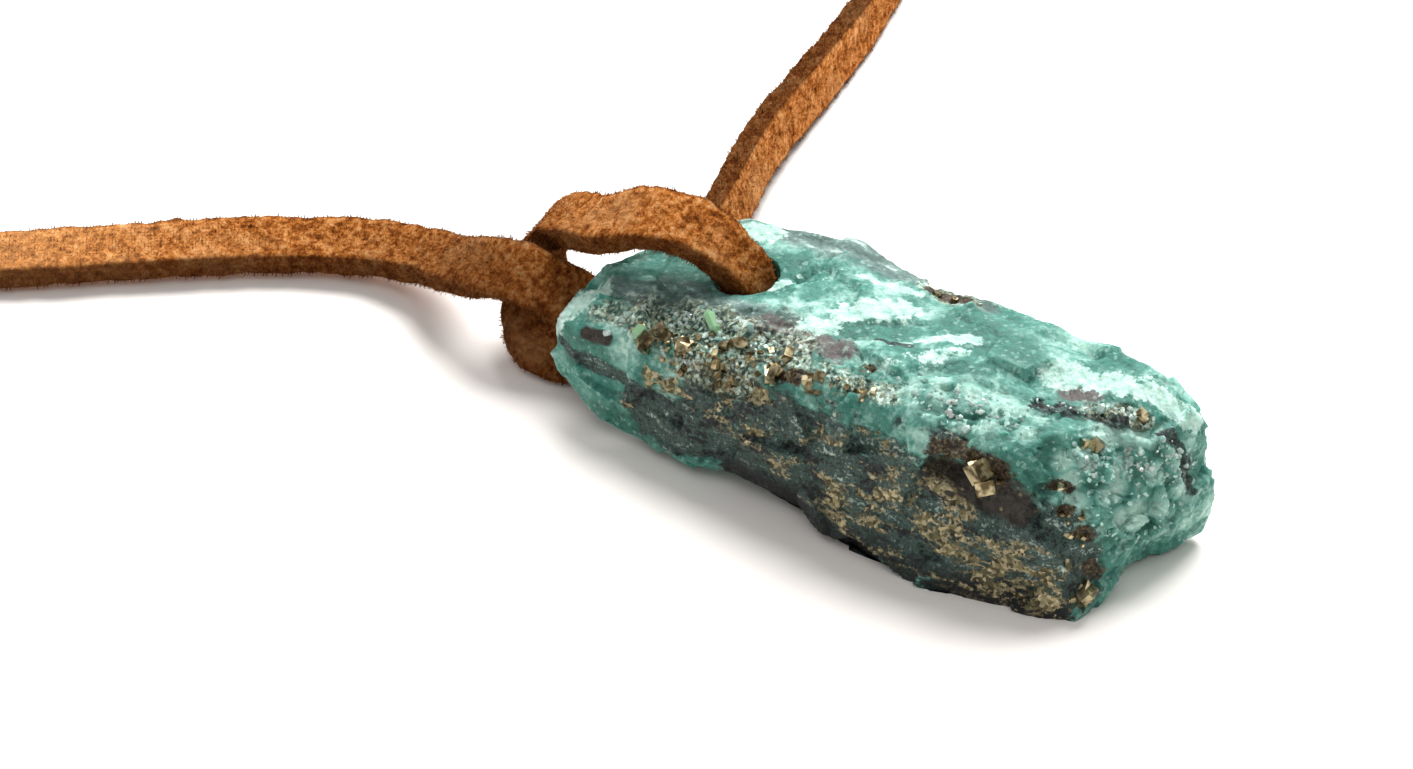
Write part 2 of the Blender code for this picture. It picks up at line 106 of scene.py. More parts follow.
# Where each kind of surface and mineral shows, as strokes: start, end and radius.
CRYSTALLINE = [(-12, -3.4, 6.6, 3.2, -3.6, 8, 2.2), (4, -3.4, 8, 9, -2.6, 8, 2),
    (12.6, -2.4, 6.4, 14.4, 2, 3, 3.4), (9.4, -1, 8.1, 13, 1.4, 7.7, 0.9),
    (0.5, 4, 8.1, 2.6, 4, 8.1, 0.8)]
ZONES = {
    "globes": [(5.2, -3.4, 8, 8.8, -2.4, 8, 1.5), (12.6, -1.8, 5.6, 14.2, 1.2, 4.6, 2.4)],
    "milky": [(-1.3, -0.2, 8.4, 0.5, 1.4, 8.4, 0.85), (-2.3, -2, 8.1, -1.2, -1.6, 8.3, 0.5),
        (1.4, -1.9, 8.2, 3, -0.3, 8.3, 0.28), (3.1, -0.2, 8.3, 4.6, 1.2, 8.4, 0.42),
        (2.6, -2.9, 8.2, 4.6, -0.2, 8.3, 0.5), (12.4, 3.2, 7.8, 14.6, 3.4, 6.9, 0.6),
        (-9.6, 3.8, 8, -8.6, 3.8, 8, 0.9), (-5, 1.5, 8, -3.4, 2.6, 8.1, 0.24),
        (-2.6, 2.6, 8.2, 0.6, 3.1, 8.2, 0.22), (-5.8, 0.2, 7.8, -5.4, 0.7, 7.9, 0.3),
        (-15, -4.2, 4.6, -13.6, -2.8, 6, 0.7), (12.4, -0.2, 7.4, 13.6, 1.2, 6.9, 0.6),
        (8.9, 1.4, 8.2, 11.3, 2.5, 8, 0.75), (5.6, -2.6, 8.2, 7.8, -1.8, 8.2, 0.4),
        (11.2, 1.8, 8.1, 12.6, 3, 7.9, 0.45)],
    "deep": [(-14.2, -5, 4.6, -11.8, -5.3, 4.4, 0.7), (13.6, -1.6, 3, 14.4, 1.6, 2.2, 0.7),
        (9.6, -3.2, 7.5, 11.6, -2.8, 6.6, 1.6), (9.2, -0.9, 7.9, 10.4, -2.6, 7.7, 0.9),
        (-11, -0.4, 7, -9, 0.9, 7.4, 1.2), (4.4, -1.7, 8.3, 6.2, -0.6, 8.3, 0.6),
        (11.3, 0.9, 8.1, 12.6, 1.9, 8, 0.6), (-0.8, -1.3, 8.4, 1.3, -0.2, 8.4, 0.8),
        (3.6, 2.2, 8.3, 6.6, 1.4, 8.3, 1.3), (-11.6, -5.4, 1.6, -9, -5.3, 1.2, 0.6),
        (13.4, -2, 4.6, 14.8, 1.4, 3.6, 0.9), (-7.6, 1.6, 7.8, -5.6, 2.2, 8, 0.7)],
    "grey": [(-8, 4.4, 8.2, -1, 4.5, 8, 1), (-1, 4.4, 8, 3.4, 4.3, 8.2, 0.6),
        (-13.2, -2.4, 6.4, -8.4, -1.8, 7.4, 0.7), (-11.4, -2.9, 6.6, -5.8, -2, 7.5, 0.8),
        (-5.8, -2, 7.5, -3.2, -2.2, 8, 0.7)],
    "mauve": [(9.8, 0.7, 8.1, 10.8, 1.3, 8, 0.5), (-4.6, -2.6, 7.8, 0.3, -3, 8.3, 0.75)],
    "mica": [(-3.6, -5.4, 1.2, 12.4, -4.9, 0.2, 1.3), (-4, -6, 4.2, 12, -5.2, 2.6, 3.2),
        (-9, -5.8, 2.6, -4, -5.8, 3, 1.5), (-14.6, -4.9, 4.2, -12.6, -5.3, 3.9, 0.3),
        (-12.6, -5.3, 3.9, -7.6, -5.7, 3.6, 0.5), (9.2, -0.9, 8.2, 12.6, 0.7, 7.8, 0.5),
        (12.6, 0.7, 7.8, 14.4, 2, 6.8, 0.4), (14.4, 2, 6.8, 15.3, 2.9, 3.8, 0.4),
        (1.2, -1.4, 8.3, 2.6, -1.1, 8.3, 0.3), (4.6, -4.6, 7.4, 9.4, -4.4, 6.8, 0.5)],
    "foot": [(-3.6, -5.4, 1, 12.8, -5, 0, 1.2), (-6.5, -5.4, 1.2, -3.6, -5.4, 1, 0.6)],
    "druse": [(-12.6, -4, 5.9, -9.6, -3.8, 6.6, 0.6), (-10, -3.6, 6.6, -5.6, -3.6, 7.2, 1.2),
        (-6.6, -3.4, 7.2, -1.6, -3.8, 7.7, 1.2), (-7, -5, 6, -3.4, -5, 6.4, 0.9),
        (-2.4, -4.3, 7.5, 3.6, -4.3, 8, 0.65), (11.2, 0.2, 8, 13.4, 1.7, 7.4, 0.5),
        (0.5, 4, 8.1, 2.6, 4.1, 8.1, 0.6)],
    "pyrite_film": [(-8.2, -5.3, 4.9, -2.5, -5.4, 5.8, 0.9), (0.5, -5.6, 6.2, 4, -5.5, 6.4, 0.5),
        (-5.5, -5.4, 5.2, 0, -5.5, 4.5, 1.4), (-0.5, -5.6, 4.4, 7, -5.9, 3.8, 2),
        (3, -5.9, 2.8, 12.5, -5, 1.6, 1.8), (-10.4, -5.1, 2.7, -10.2, -5.1, 2.7, 0.5)],
    "clay": [(7, -5.2, 5.6, 10.6, -4.6, 5.4, 0.95), (-12.7, -5, 5.3, -11.5, -5, 5.4, 0.36)],
    "rust": [(6.9, -4.9, 6.8, 9.4, -4.6, 6.6, 0.8), (11.6, -3.1, 5.9, 12.1, -2.8, 5.8, 0.32),
        (12.2, -3.4, 5, 12.5, -3.2, 4.9, 0.3), (13, -3.2, 4.2, 13.3, -3, 4, 0.4),
        (13.4, -2.8, 2.2, 13.7, -2.6, 1.7, 0.42), (-1.3, -4.9, 7.5, -0.9, -4.8, 7.5, 0.4),
        (1.9, -3.6, 8.2, 2.2, -3.4, 8.2, 0.35), (0.6, 3.7, 8.1, 2.4, 4, 8.1, 0.35)]}

# The pyrite grains, each a clump of small cubes, as x, y, z and size; single pale beryl
# crystals in the same way; and the strokes that loose crystals crowd on.
PYRITE_GRAINS = [(-2.1, -4.9, 7.1, 0.9), (-0.2, -4.9, 7.5, 0.8), (2.4, -4.6, 7.8, 0.7),
    (8.9, -4.9, 6.4, 1.1), (12.1, -2.2, 6.3, 0.5), (-9.3, -4.8, 6, 0.7), (-7.2, -4.7, 6.4, 0.8),
    (-5.4, -4.8, 6.5, 0.6), (13.6, -3.7, 1.1, 0.9), (12.7, -3.6, 4.1, 0.4),
    (-8.8, -4.1, 6.2, 0.9), (-6.9, -4.1, 6.7, 0.45), (-5.4, -4.2, 6.9, 0.5),
    (-4.7, -3.8, 7.2, 0.6), (-3.8, -4.2, 7.1, 0.5), (-6.8, -5.2, 5.7, 0.5),
    (-5.2, -5.1, 5.9, 0.45), (-4.2, -5, 6, 0.5), (-1.8, -4, 7.6, 0.8), (0.4, -4.6, 7.9, 0.7),
    (2, -3.4, 8.3, 0.6), (12.1, -1.1, 7, 0.7), (11.8, -3, 5.8, 0.5), (13, 1.6, 7.5, 0.5),
    (1, 3.7, 8.1, 0.3), (1.9, 3.8, 8.1, 0.3)]
BERYL = [(-6.7, -3.2, 7.3, 0.75), (-1.9, -4.7, 6.9, 0.7), (-9.9, -4.5, 6.2, 0.6)]
PYRITE_SPOTS = [(-10, -4.4, 6.1, -3, -4.4, 7, 1), (-3, -4.6, 7.2, 3, -4.6, 7.9, 0.6),
    (8.2, -5, 6.2, 9.4, -4.6, 6.2, 0.6), (12.2, -3.2, 5.2, 13.2, -3.2, 4, 0.6),
    (13.3, -3.9, 0.8, 13.7, -3.5, 1.2, 0.6)]
QUARTZ_SPOTS = [(5.2, -3.4, 8.1, 8.8, -2.6, 8, 1.3), (-9.4, -3.2, 6.9, -3, -3.4, 7.6, 0.9),
    (-11.4, -4.4, 6, -6.2, -4.8, 6.4, 0.7), (9, -0.8, 8.2, 13, 1.6, 7.8, 0.6),
    (12.4, -1.4, 6.8, 14.4, 1.8, 5.6, 1.2), (2.6, -3.6, 8.1, 4, -3, 8.2, 0.7)]
GRAIN_CUBES = 6  # in each grain
GRAIN_SPREAD = 0.35  # how far out they sit, as a share of its size
CUBE_SHARES = (0.35, 0.75)  # of its size that a cube has
LOOSE_CUBES = (0.1, 0.26)  # sizes of the loose cubes
QUARTZ_SMALL, QUARTZ_MORE = 0.1, 0.24  # the least size, and what chance adds
# How far chance stretches each crystal.
PYRITE_STRETCH, QUARTZ_STRETCH, BERYL_STRETCH = 0.25, 0.35, 0.3
PRISM_HALF, PRISM_TIP = 0.4, 0.8  # a prism's half length without and with its point

# The lace's strip and route. Each leg runs from the middle of the hole to its coil, as x, y
# and z, then the way that its broad face looks.
LACE_WIDTH, LACE_THICK = 3.0, 1.4
LACE_HALF = 450.0  # from the middle of the hole to each end
HOLE_SQUEEZE = 0.27  # share of its width that the strip loses inside the hole
HOLE_BUNCHING = 0.35  # share by which it is thicker there
SQUEEZE_REACH = 6.0  # how far along the strip that lasts
UPPER_LEG = [(-7.15, 0.4, 4.5, 1, 0, 0), (-7.15, 0.4, 6.4, 1, 0, 0),
    (-7.4, 0.3, 7.8, 0.95, -0.1, 0.3), (-8.5, 0, 9, 0.6, -0.3, 0.75),
    (-10.2, -0.5, 9.8, 0.2, -0.42, 0.9), (-12.2, -0.9, 9.7, 0, -0.48, 0.88),
    (-14.4, -0.7, 8.45, -0.3, -0.4, 0.87), (-16.7, 0.1, 7.3, -0.55, -0.2, 0.8),
    (-18.7, 0.9, 6.2, -0.85, -0.1, 0.5), (-19.8, 1.3, 4.9, -1, -0.1, 0.1),
    (-20.1, 0.9, 3.4, -1, 0, -0.1), (-19.5, -0.4, 2.1, -0.8, 0.1, -0.6),
    (-18.5, -1.7, 1.35, -0.3, 0.1, -0.95), (-17.2, -2.3, 1, 0, 0, -1),
    (-15.9, -1.8, 0.8, 0, 0, -1), (-15, -0.1, 0.8, 0, 0, -1), (-14.6, 2.2, 0.85, -0.08, 0, -1),
    (-14.4, 4.8, 1.2, -0.35, 0, -0.93), (-14.7, 7.2, 1.9, -0.8, 0, -0.6),
    (-15.6, 9.8, 2.5, -0.95, -0.2, -0.3), (-17, 13.2, 2.4, -0.97, -0.3, -0.2),
    (-18.5, 17, 2.1, -0.97, -0.3, -0.17), (-19.6, 20.7, 1.9, -0.97, -0.3, -0.15),
    (-20.6, 25, 1.7, -0.97, -0.25, -0.12), (-21.9, 30.6, 1.6, -0.97, -0.25, -0.1),
    (-23.2, 35.4, 1.6, -0.95, -0.25, 0), (-25, 39.6, 1.6, -0.8, -0.6, 0),
    (-29.5, 41.6, 1.6, -0.05, -1, 0), (-36, 40.9, 1.6, 0.15, -1, 0), (-46, 37.8, 1.6, 0.3, -1, 0),
    (-56, 32.5, 2, 0.45, -1, 0), (-65, 27, 3.3, 0.45, -1, 0), (-72.5, 23.2, 4.5, 0.35, -1, 0),
    (-79, 21.2, 4.85, 0.2, -1, 0)]
LOWER_LEG = [(-7.15, 0.4, 4.1, 1, 0, 0), (-7.15, 0.4, 3.1, 1, 0, 0),
    (-7.6, 0.35, 1.7, 0.75, 0, 0.65), (-9, 0.2, 0.95, 0.15, 0, 1), (-11, -0.2, 1, 0.1, 0, 1),
    (-12.6, -0.4, 2, 0.5, 0, 0.85), (-13.9, -0.7, 2.8, 0.4, 0, 0.85),
    (-15.3, -1.2, 3.5, 0.35, -0.2, 0.85), (-16.8, -1.9, 4.4, 0.2, -0.55, 0.8),
    (-18.3, -2.4, 5, 0, -0.75, 0.7), (-20.5, -2.4, 4.6, -0.1, -0.65, 0.8),
    (-23.3, -1.5, 3.2, -0.1, -0.4, 0.9), (-26.3, -0.6, 2.1, 0.05, -0.3, 0.95),
    (-29.4, -0.9, 1.55, 0.1, -0.25, 0.95), (-33, -2.8, 1.35, 0.15, -0.2, 0.95),
    (-36.8, -5.8, 1.35, 0.15, -0.2, 0.95), (-40.5, -9.1, 1.3, 0.15, -0.2, 0.95),
    (-44.2, -12.4, 1.25, 0.15, -0.2, 0.95), (-49, -15.7, 1.3, 0.2, -0.45, 0.85),
    (-56, -17.4, 1.5, 0.05, -0.85, 0.5), (-64, -17.6, 1.55, 0, -1, 0.15),
    (-74, -17.3, 1.55, 0, -1, 0)]
COIL_MIDDLE = (-82.8, 0.6)
COIL_RADIUS = 15.0  # at the middle of its turns
COIL_PITCH = 1.55
COIL_START, COIL_STEP = 0.01, 0.02  # angles of its points
LOWER_COIL_Z, UPPER_COIL_Z = 1.55, 4.85
NEAR_STEP, FAR_STEP = 0.16, 0.6  # between sections: where the strip shows, and beyond
NEAR_LENGTH = 125.0
FACE_POINTS, EDGE_POINTS = 14, 8  # of the strip's section
CORNER_POWER = 9.0  # the higher, the squarer the strip's section
NAP_RELIEF, NAP_SALT = [(1.6, 0.06), (0.6, 0.08), (0.28, 0.06)], 51
STRIP_FLOOR, NAP_FLOOR = 0.02, 0.01  # the least heights
FIBRE_WIDTH, FIBRE_TAPER = 0.045, 0.8
SHORTEST_FIBRE = 0.4  # as a share of the longest
# How far a fibre's bend and its tip go out, at random, and along the strip.
BEND_OUT, BEND_LEAN = 0.4, 0.4
TIP_OUT, TIP_LEAN, TIP_ALONG = 0.1, 0.5, 0.35
HOLE_PAINTED_SHADE, HOLE_REACH = 0.8, 4.6  # painted shade on the suede near the hole, and how far along it reaches
PALER_LEFTWARD = (-0.034, -0.05, 0.0, 0.5)  # paler towards the left end: metres along x, and how pale from and to
KNOT_PAINTED_SHADE = 0.95  # painted shade on the suede round the knot
KNOT_MIDDLE, KNOT_REACH = (-19, -2, 3.2), (11, 11, 4.5)
EDGE_TONE_AND_SHADE, EDGE_FROM = 0.8, 0.96  # darker cut leather and painted shade on its cut edges, and how far across they start


# Shapes

def scramble(cells, salt):
    """A repeatable number from 0 to 1 for each cell of whole numbers.

    Its three numbers are multiplied by large primes and mixed bit by bit.
    """
    n = cells.astype(np.int64)
    mixed = n[..., 0] * 73856093 ^ n[..., 1] * 19349663 ^ n[..., 2] * 83492791
    mixed = (mixed + salt * 668265263) & 0x7FFFFFFF
    mixed = (mixed ^ mixed >> 13) * 1274126177 & 0x7FFFFFFF
    mixed = (mixed ^ mixed >> 15) * 2246822519 & 0x7FFFFFFF
    return (mixed ^ mixed >> 16 & 0xFFFF) % 65536 / 65535


def smooth_noise(points, size, salt):
    """Value noise, -1 to 1: numbers at the corners of cells of a size, eased by 3t² - 2t³."""
    at = points / size
    cell = np.floor(at)
    t = at - cell
    t = t * t * (3 - 2 * t)
    total = np.zeros(len(points))
    for corner in itertools.product((0, 1), repeat=3):
        total += np.where(corner, t, 1 - t).prod(axis=1) * scramble(cell + corner, salt)
    return 2 * total - 1


def nearest_seed(points, size, salt):
    """Of one seed scattered in each cell, the nearest: its distance, the way to it, its cell."""
    at = points / size
    home = np.floor(at)
    best = np.full(len(points), np.inf)
    away, cell = np.zeros_like(at), np.zeros_like(at)
    for step in itertools.product((-1, 0, 1), repeat=3):
        here = home + step
        seed = here + np.stack([scramble(here, salt + k) for k in range(3)], 1)
        offset = at - seed
        far = (offset**2).sum(1)
        closer = far < best
        best[closer], away[closer], cell[closer] = far[closer], offset[closer], here[closer]
    return np.sqrt(best), away, cell


def flat_steps(points, size, salt):
    """Broken facets: around each seed the height rises evenly along the seed's own way."""
    _, away, cell = nearest_seed(points, size, salt)
    lean = np.stack([scramble(cell, salt + LEAN_SALT + k) for k in range(3)], 1) * 2 - 1
    return (away * lean).sum(1)


def round_grains(points, size, salt):
    """Grains, 0 in the seams to 1 on top: the root of one less the squared distance."""
    far, _, _ = nearest_seed(points, size, salt)
    return np.sqrt(np.clip(1 - far**2, 0, 1))


def layered(relief, points, layers, salt):
    """A relief at several sizes, each times its own height."""
    return sum(height * relief(points, size, n) for n, (size, height) in enumerate(layers, salt))


def closeness(points, strokes):
    """1 on a stroke, 0 at its radius, less beyond: one less distance over radius."""
    best = np.full(len(points), FAR_OFF)
    for *ends, radius in strokes:
        start, end = np.reshape(ends, (2, 3))
        along = end - start
        share = np.clip((points - start) @ along / (along @ along), 0, 1)
        far = np.linalg.norm(points - start - share[:, None] * along, axis=1)
        best = np.maximum(best, 1 - far / radius)
    return best


def unit(vectors):
    return vectors / np.linalg.norm(vectors, axis=-1, keepdims=True)


def between(a, b, c, d, f):
    """The Catmull-Rom curve from b to c, a share f of the way along."""
    return 0.5 * (2 * b + (c - a) * f + (2 * a - 5 * b + 4 * c - d) * f**2
                  + (3 * b - a - 3 * c + d) * f**3)


def smooth_line(points, count):
    """Count points on a Catmull-Rom curve through points, evenly spaced along it."""
    p = np.array(points, float)
    p = np.vstack([2 * p[0] - p[1], p, 2 * p[-1] - p[-2]])
    t = np.linspace(0, len(points) - 1, STRETCH_POINTS * len(points))
    i = np.minimum(t.astype(int), len(points) - 2)
    fine = between(p[i], p[i + 1], p[i + 2], p[i + 3], (t - i)[:, None])
    return spaced(fine, np.linspace(0, run_along(fine)[-1], count))


def run_along(line):
    """The distance along a line of each of its points."""
    return np.r_[0, np.cumsum(np.linalg.norm(np.diff(line[:, :3], axis=0), axis=1))]


def spaced(line, distances):
    """The points of a line at distances along it."""
    run = run_along(line)
    return np.stack([np.interp(distances, run, column) for column in line.T], 1)


def grid_faces(rows, columns):
    """Quads of a grid whose columns close round, as a whole array."""
    corner = np.arange(rows * columns).reshape(rows, columns)
    around = np.roll(corner, -1, axis=1)
    return np.stack([corner[:-1], around[:-1], around[1:], corner[1:]], -1).reshape(-1, 4)


def piece(name, points, faces, material, smooth=True):
    """An object at the origin, its mesh in metres from points in millimetres."""
    mesh = bpy.data.meshes.new(name)
    mesh.from_pydata((points * MM).tolist(), [], [list(map(int, f)) for f in faces])
    mesh.polygons.foreach_set("use_smooth", np.full(len(mesh.polygons), smooth))
    mesh.materials.append(material)
    made = bpy.data.objects.new(name, mesh)
    bpy.context.scene.collection.objects.link(made)
    return made


def belongs(made, slot, *nodes):
    """The piece rides on the body and stands for CAD nodes, which it hides. The slot is not used.
    """
    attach(made, BODY)
    if nodes:
        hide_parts(*nodes)


# Stone

def stone_rings():
    """The stone's outlines from end to end, as an array (ring, point, xyz).

    Each face is spanned flat between two edges, and part of the way to the curve through
    all the edges.
    """
    edges = np.stack([smooth_line(edge, STEPS_ALONG) for edge in EDGES], 1)
    before, after, next_after = (np.roll(edges, -k, axis=1) for k in (-1, 1, 2))
    share = (np.arange(STEPS_ACROSS) / STEPS_ACROSS)[:, None]
    flat = edges[:, :, None] + (after - edges)[:, :, None] * share
    rounded = between(*(x[:, :, None] for x in (before, edges, after, next_after)), share)
    body = (flat + (rounded - flat) * ROUNDING).reshape(STEPS_ALONG, -1, 3)
    left = end_rings(body[0], LEFT_END_MIDDLE, -END_BULGE)[::-1]
    right = end_rings(body[-1], RIGHT_END_MIDDLE, END_BULGE)
    return np.concatenate([left, body, right])


def end_rings(outline, middle, bulge):
    """Rings that shrink from an end's outline towards its middle, standing out by bulge."""
    share = (np.arange(1, END_RINGS) / END_RINGS)[:, None, None]
    rings = outline * (1 - share) + np.array(middle) * share
    rings[:, :, 0] += bulge * np.sin(np.pi / 2 * share[:, :, 0])
    return rings


def outward_of(rings):
    """Unit directions out of a closed stack of rings, from its two families of edges."""
    along = np.gradient(rings, axis=0)
    around = (np.roll(rings, -1, axis=1) - np.roll(rings, 1, axis=1)) / 2
    return unit(np.cross(along, around))


def broken(points, out):
    """Moves the surface out and in by its lumps and by its flat tilted steps."""
    move = layered(smooth_noise, points, LUMPS, LUMP_SALT)
    move += layered(flat_steps, points, STEPS, STEP_SALT)
    return points + out * move[:, None]


def grained(points, out):
    """Adds fine steps and grains, most on the crystalline places, and globes where they grew."""
    rough = np.clip(closeness(points, CRYSTALLINE) * RIM_RISE, 0, 1)
    move = layered(flat_steps, points, FINE_STEPS, FINE_SALT)
    move += GRAIN_HEIGHT * round_grains(points, GRAIN_SIZE, GRAIN_SALT)
    move = move * (SMOOTH_SHARE + (1 - SMOOTH_SHARE) * rough)
    globes = np.clip(closeness(points, ZONES["globes"]) * RIM_RISE, 0, 1)
    move += GLOBE_HEIGHT * (round_grains(points, GLOBE_SIZE, GLOBE_SALT) - GLOBE_SINK) * globes
    return points + out * move[:, None]


def pitted(points, out):
    """Sinks each point that lies in a pit to the pit's far wall, straight inwards.

    That is the later root of |(p - t·out - middle) / radii| = 1 in t.
    """
    for middle, radii in PITS:
        p, n = (points - middle) / radii, out / radii
        a, b, c = (n * n).sum(1), (p * n).sum(1), (p * p).sum(1) - 1
        depth = (b + np.sqrt(np.maximum(b * b - a * c, 0))) / a
        points = points - out * np.where(c < 0, depth, 0)[:, None]
    return points


def make_stone(material):
    """The fine closed surface of the stone, drilled, with its mineral zones as attributes."""
    rings = stone_rings()
    rows, columns = rings.shape[:2]
    out = outward_of(rings).reshape(-1, 3)
    points = pitted(grained(broken(rings.reshape(-1, 3), out), out), out)
    left, right = points[:columns].mean(0), points[-columns:].mean(0)
    points = np.vstack([points, left, right])
    points[:, 2] = np.maximum(points[:, 2], 0)
    ring = np.arange(columns)
    after = np.roll(ring, -1)
    pole, last = np.full(columns, rows * columns), (rows - 1) * columns
    faces = [*grid_faces(rows, columns), *np.stack([pole, after, ring], 1),
             *np.stack([pole + 1, last + ring, last + after], 1)]
    stone = piece("emerald_stone", points, faces, material)
    drill(stone)
    paint_zones(stone)
    return stone


def drill(stone):
    """Cuts the drill hole through the stone and keeps the result as its mesh."""
    bpy.ops.mesh.primitive_cylinder_add(vertices=HOLE_SIDES, radius=HOLE_R * MM,
                                        depth=HOLE_DEPTH * MM,
                                        location=(HOLE_X * MM, HOLE_Y * MM, 0))
    bit = bpy.context.object
    cut = stone.modifiers.new("drill", "BOOLEAN")
    cut.object = bit
    whole = stone.evaluated_get(bpy.context.evaluated_depsgraph_get())
    mesh = bpy.data.meshes.new_from_object(whole)
    stone.modifiers.remove(cut)
    stone.data = mesh
    bpy.data.objects.remove(bit)


def corners_of(mesh):
    """The mesh's points in millimetres, as an array."""
    flat = np.empty(len(mesh.vertices) * 3)
    mesh.vertices.foreach_get("co", flat)
    return flat.reshape(-1, 3) / MM


def mark(made, name, values):
    """Writes a number for each point of a mesh, for its material to read."""
    made.data.attributes.new(name, "FLOAT", "POINT").data.foreach_set("value", values)


def paint_zones(stone):
    """Marks how near each point is to each mineral's strokes, and its place on a globe, from
    which the material paints shade in the seams and light on the tops.
    """
    points = corners_of(stone.data)
    for name, strokes in ZONES.items():
        mark(stone, name, closeness(points, strokes))
    # A globe's place: 0 in its seams to 1 on its top, for its painted shade and light.
    mark(stone, "bead", round_grains(points, GLOBE_SIZE, GLOBE_SALT))


# Crystals

def turned_at_random(count, rng):
    """Rotation matrices from unit quaternions drawn evenly over all turns."""
    w, x, y, z = unit(rng.normal(size=(count, 4))).T
    return np.stack([
        np.stack([1 - 2 * (y * y + z * z), 2 * (x * y - w * z), 2 * (x * z + w * y)], 1),
        np.stack([2 * (x * y + w * z), 1 - 2 * (x * x + z * z), 2 * (y * z - w * x)], 1),
        np.stack([2 * (x * z - w * y), 2 * (y * z + w * x), 1 - 2 * (x * x + y * y)], 1)], 1)


def cube_shape():
    """A cube of side 1, its corners and outward faces."""
    corners = np.array(list(itertools.product((-0.5, 0.5), repeat=3)))
    return corners, [(0, 1, 3, 2), (4, 6, 7, 5), (0, 4, 5, 1), (2, 3, 7, 6), (0, 2, 6, 4),
                     (1, 5, 7, 3)]


def prism_shape():
    """A six-sided prism across 1, with a point at each end, its corners and outward faces."""
    turn = np.arange(6) * np.pi / 3
    ring = np.stack([np.cos(turn), np.sin(turn)], 1) / 2
    ends = [np.c_[ring, np.full(6, end)] for end in (-PRISM_HALF, PRISM_HALF)]
    corners = np.vstack([*ends, [(0, 0, -PRISM_TIP), (0, 0, PRISM_TIP)]])
    around = [(k, (k + 1) % 6) for k in range(6)]
    return corners, ([(a, b, b + 6, a + 6) for a, b in around]
                     + [(b, a, 12) for a, b in around] + [(a + 6, b + 6, 13) for a, b in around])


def scattered(name, shape, places, sizes, stretch, rng, material):
    """A piece of one shape at each place, turned at random, sized and stretched."""
    corners, faces = shape
    turns = turned_at_random(len(places), rng)
    spread = 1 + stretch * rng.uniform(-1, 1, (len(places), 1, 3))
    sized = corners * sizes[:, None, None] * spread
    points = np.einsum("nij,nkj->nki", turns, sized) + places[:, None]
    points[..., 2] = np.maximum(points[..., 2], 0)
    lifted = [tuple(np.array(face) + n * len(corners)) for n in range(len(places))
              for face in faces]
    return piece(name, points.reshape(-1, 3), lifted, material, smooth=False)


def crowd(stone, spots, count, rng):
    """Places drawn among the stone's points, likelier the nearer they are to the spots."""
    points = corners_of(stone.data)
    weight = np.clip(closeness(points, spots), 0, 1)
    chosen = rng.choice(len(points), count, replace=False, p=weight / weight.sum())
    return points[chosen]


def make_pyrite(stone, settings, material):
    """Brassy cubes: clumped in the larger grains, and loose between them."""
    rng = np.random.default_rng(settings.pyrite_seed)
    places, sizes = np.split(np.repeat(PYRITE_GRAINS, GRAIN_CUBES, axis=0), [3], axis=1)
    clumps = places + rng.uniform(-GRAIN_SPREAD, GRAIN_SPREAD, places.shape) * sizes
    loose = crowd(stone, PYRITE_SPOTS, settings.pyrite_count, rng)
    sizes = np.r_[sizes[:, 0] * rng.uniform(*CUBE_SHARES, len(sizes)),
                  rng.uniform(*LOOSE_CUBES, len(loose))]
    return scattered("pyrite_crystals", cube_shape(), np.vstack([clumps, loose]), sizes,
                     PYRITE_STRETCH, rng, material)


def make_quartz(stone, settings, material):
    """Small glassy grains crowded on the crystalline places."""
    rng = np.random.default_rng(settings.quartz_seed)
    places = crowd(stone, QUARTZ_SPOTS, settings.quartz_count, rng)
    sizes = QUARTZ_SMALL + QUARTZ_MORE * rng.uniform(0, 1, len(places)) ** 3
    return scattered("quartz_crystals", prism_shape(), places, sizes, QUARTZ_STRETCH, rng,
                     material)


def make_beryl(settings, material):
    """The single pale green beryl prisms."""
    rng = np.random.default_rng(settings.quartz_seed)
    places, sizes = np.split(np.array(BERYL), [3], axis=1)
    return scattered("beryl_crystals", prism_shape(), places, sizes[:, 0], BERYL_STRETCH, rng,
                     material)


# Lace

def lace_line(route, coil_z):
    """A leg's centreline and facing: the curve through its route, then a flat spiral.

    The spiral's radius falls by a pitch each turn. What its start is out from that falls
    away exponentially, at the rate that continues the leg's own heading. The line is cut
    to half of the lace's length.
    """
    leg = smooth_line(route, STRETCH_POINTS * len(route))
    middle = np.array(COIL_MIDDLE)
    arm, heading = leg[-1, :2] - middle, unit(leg[-1, :2] - leg[-3, :2])
    way = np.sign(arm[0] * heading[1] - arm[1] * heading[0])
    rest = LACE_HALF - run_along(leg)[-1]
    turns = rest / (2 * math.pi * COIL_RADIUS)
    outer = COIL_RADIUS + turns * COIL_PITCH / 2
    extra = np.linalg.norm(arm) - outer
    radial = arm / np.linalg.norm(arm)
    inward = -(heading @ radial) / abs(heading @ (-radial[1], radial[0]))
    fall = extra / (inward * np.linalg.norm(arm))
    angle = np.arange(COIL_START, (turns + 1) * 2 * math.pi, COIL_STEP)
    fade = np.exp(-angle / fall)
    radius = outer - COIL_PITCH * angle / (2 * math.pi) + extra * fade
    at = math.atan2(arm[1], arm[0]) + way * angle
    out = np.stack([np.cos(at), np.sin(at)], 1)
    facing = np.sign(leg[-1, 3:5] @ radial)
    place = middle + radius[:, None] * out
    height = coil_z + (leg[-1, 2] - coil_z) * fade
    look = facing * out + (leg[-1, 3:5] - facing * radial) * fade[:, None]
    spiral = np.c_[place, height, look, np.zeros(len(angle))]
    whole = np.vstack([leg, spiral])
    return spaced(whole, np.r_[np.arange(0, NEAR_LENGTH, NEAR_STEP),
                               np.arange(NEAR_LENGTH, LACE_HALF, FAR_STEP), LACE_HALF])


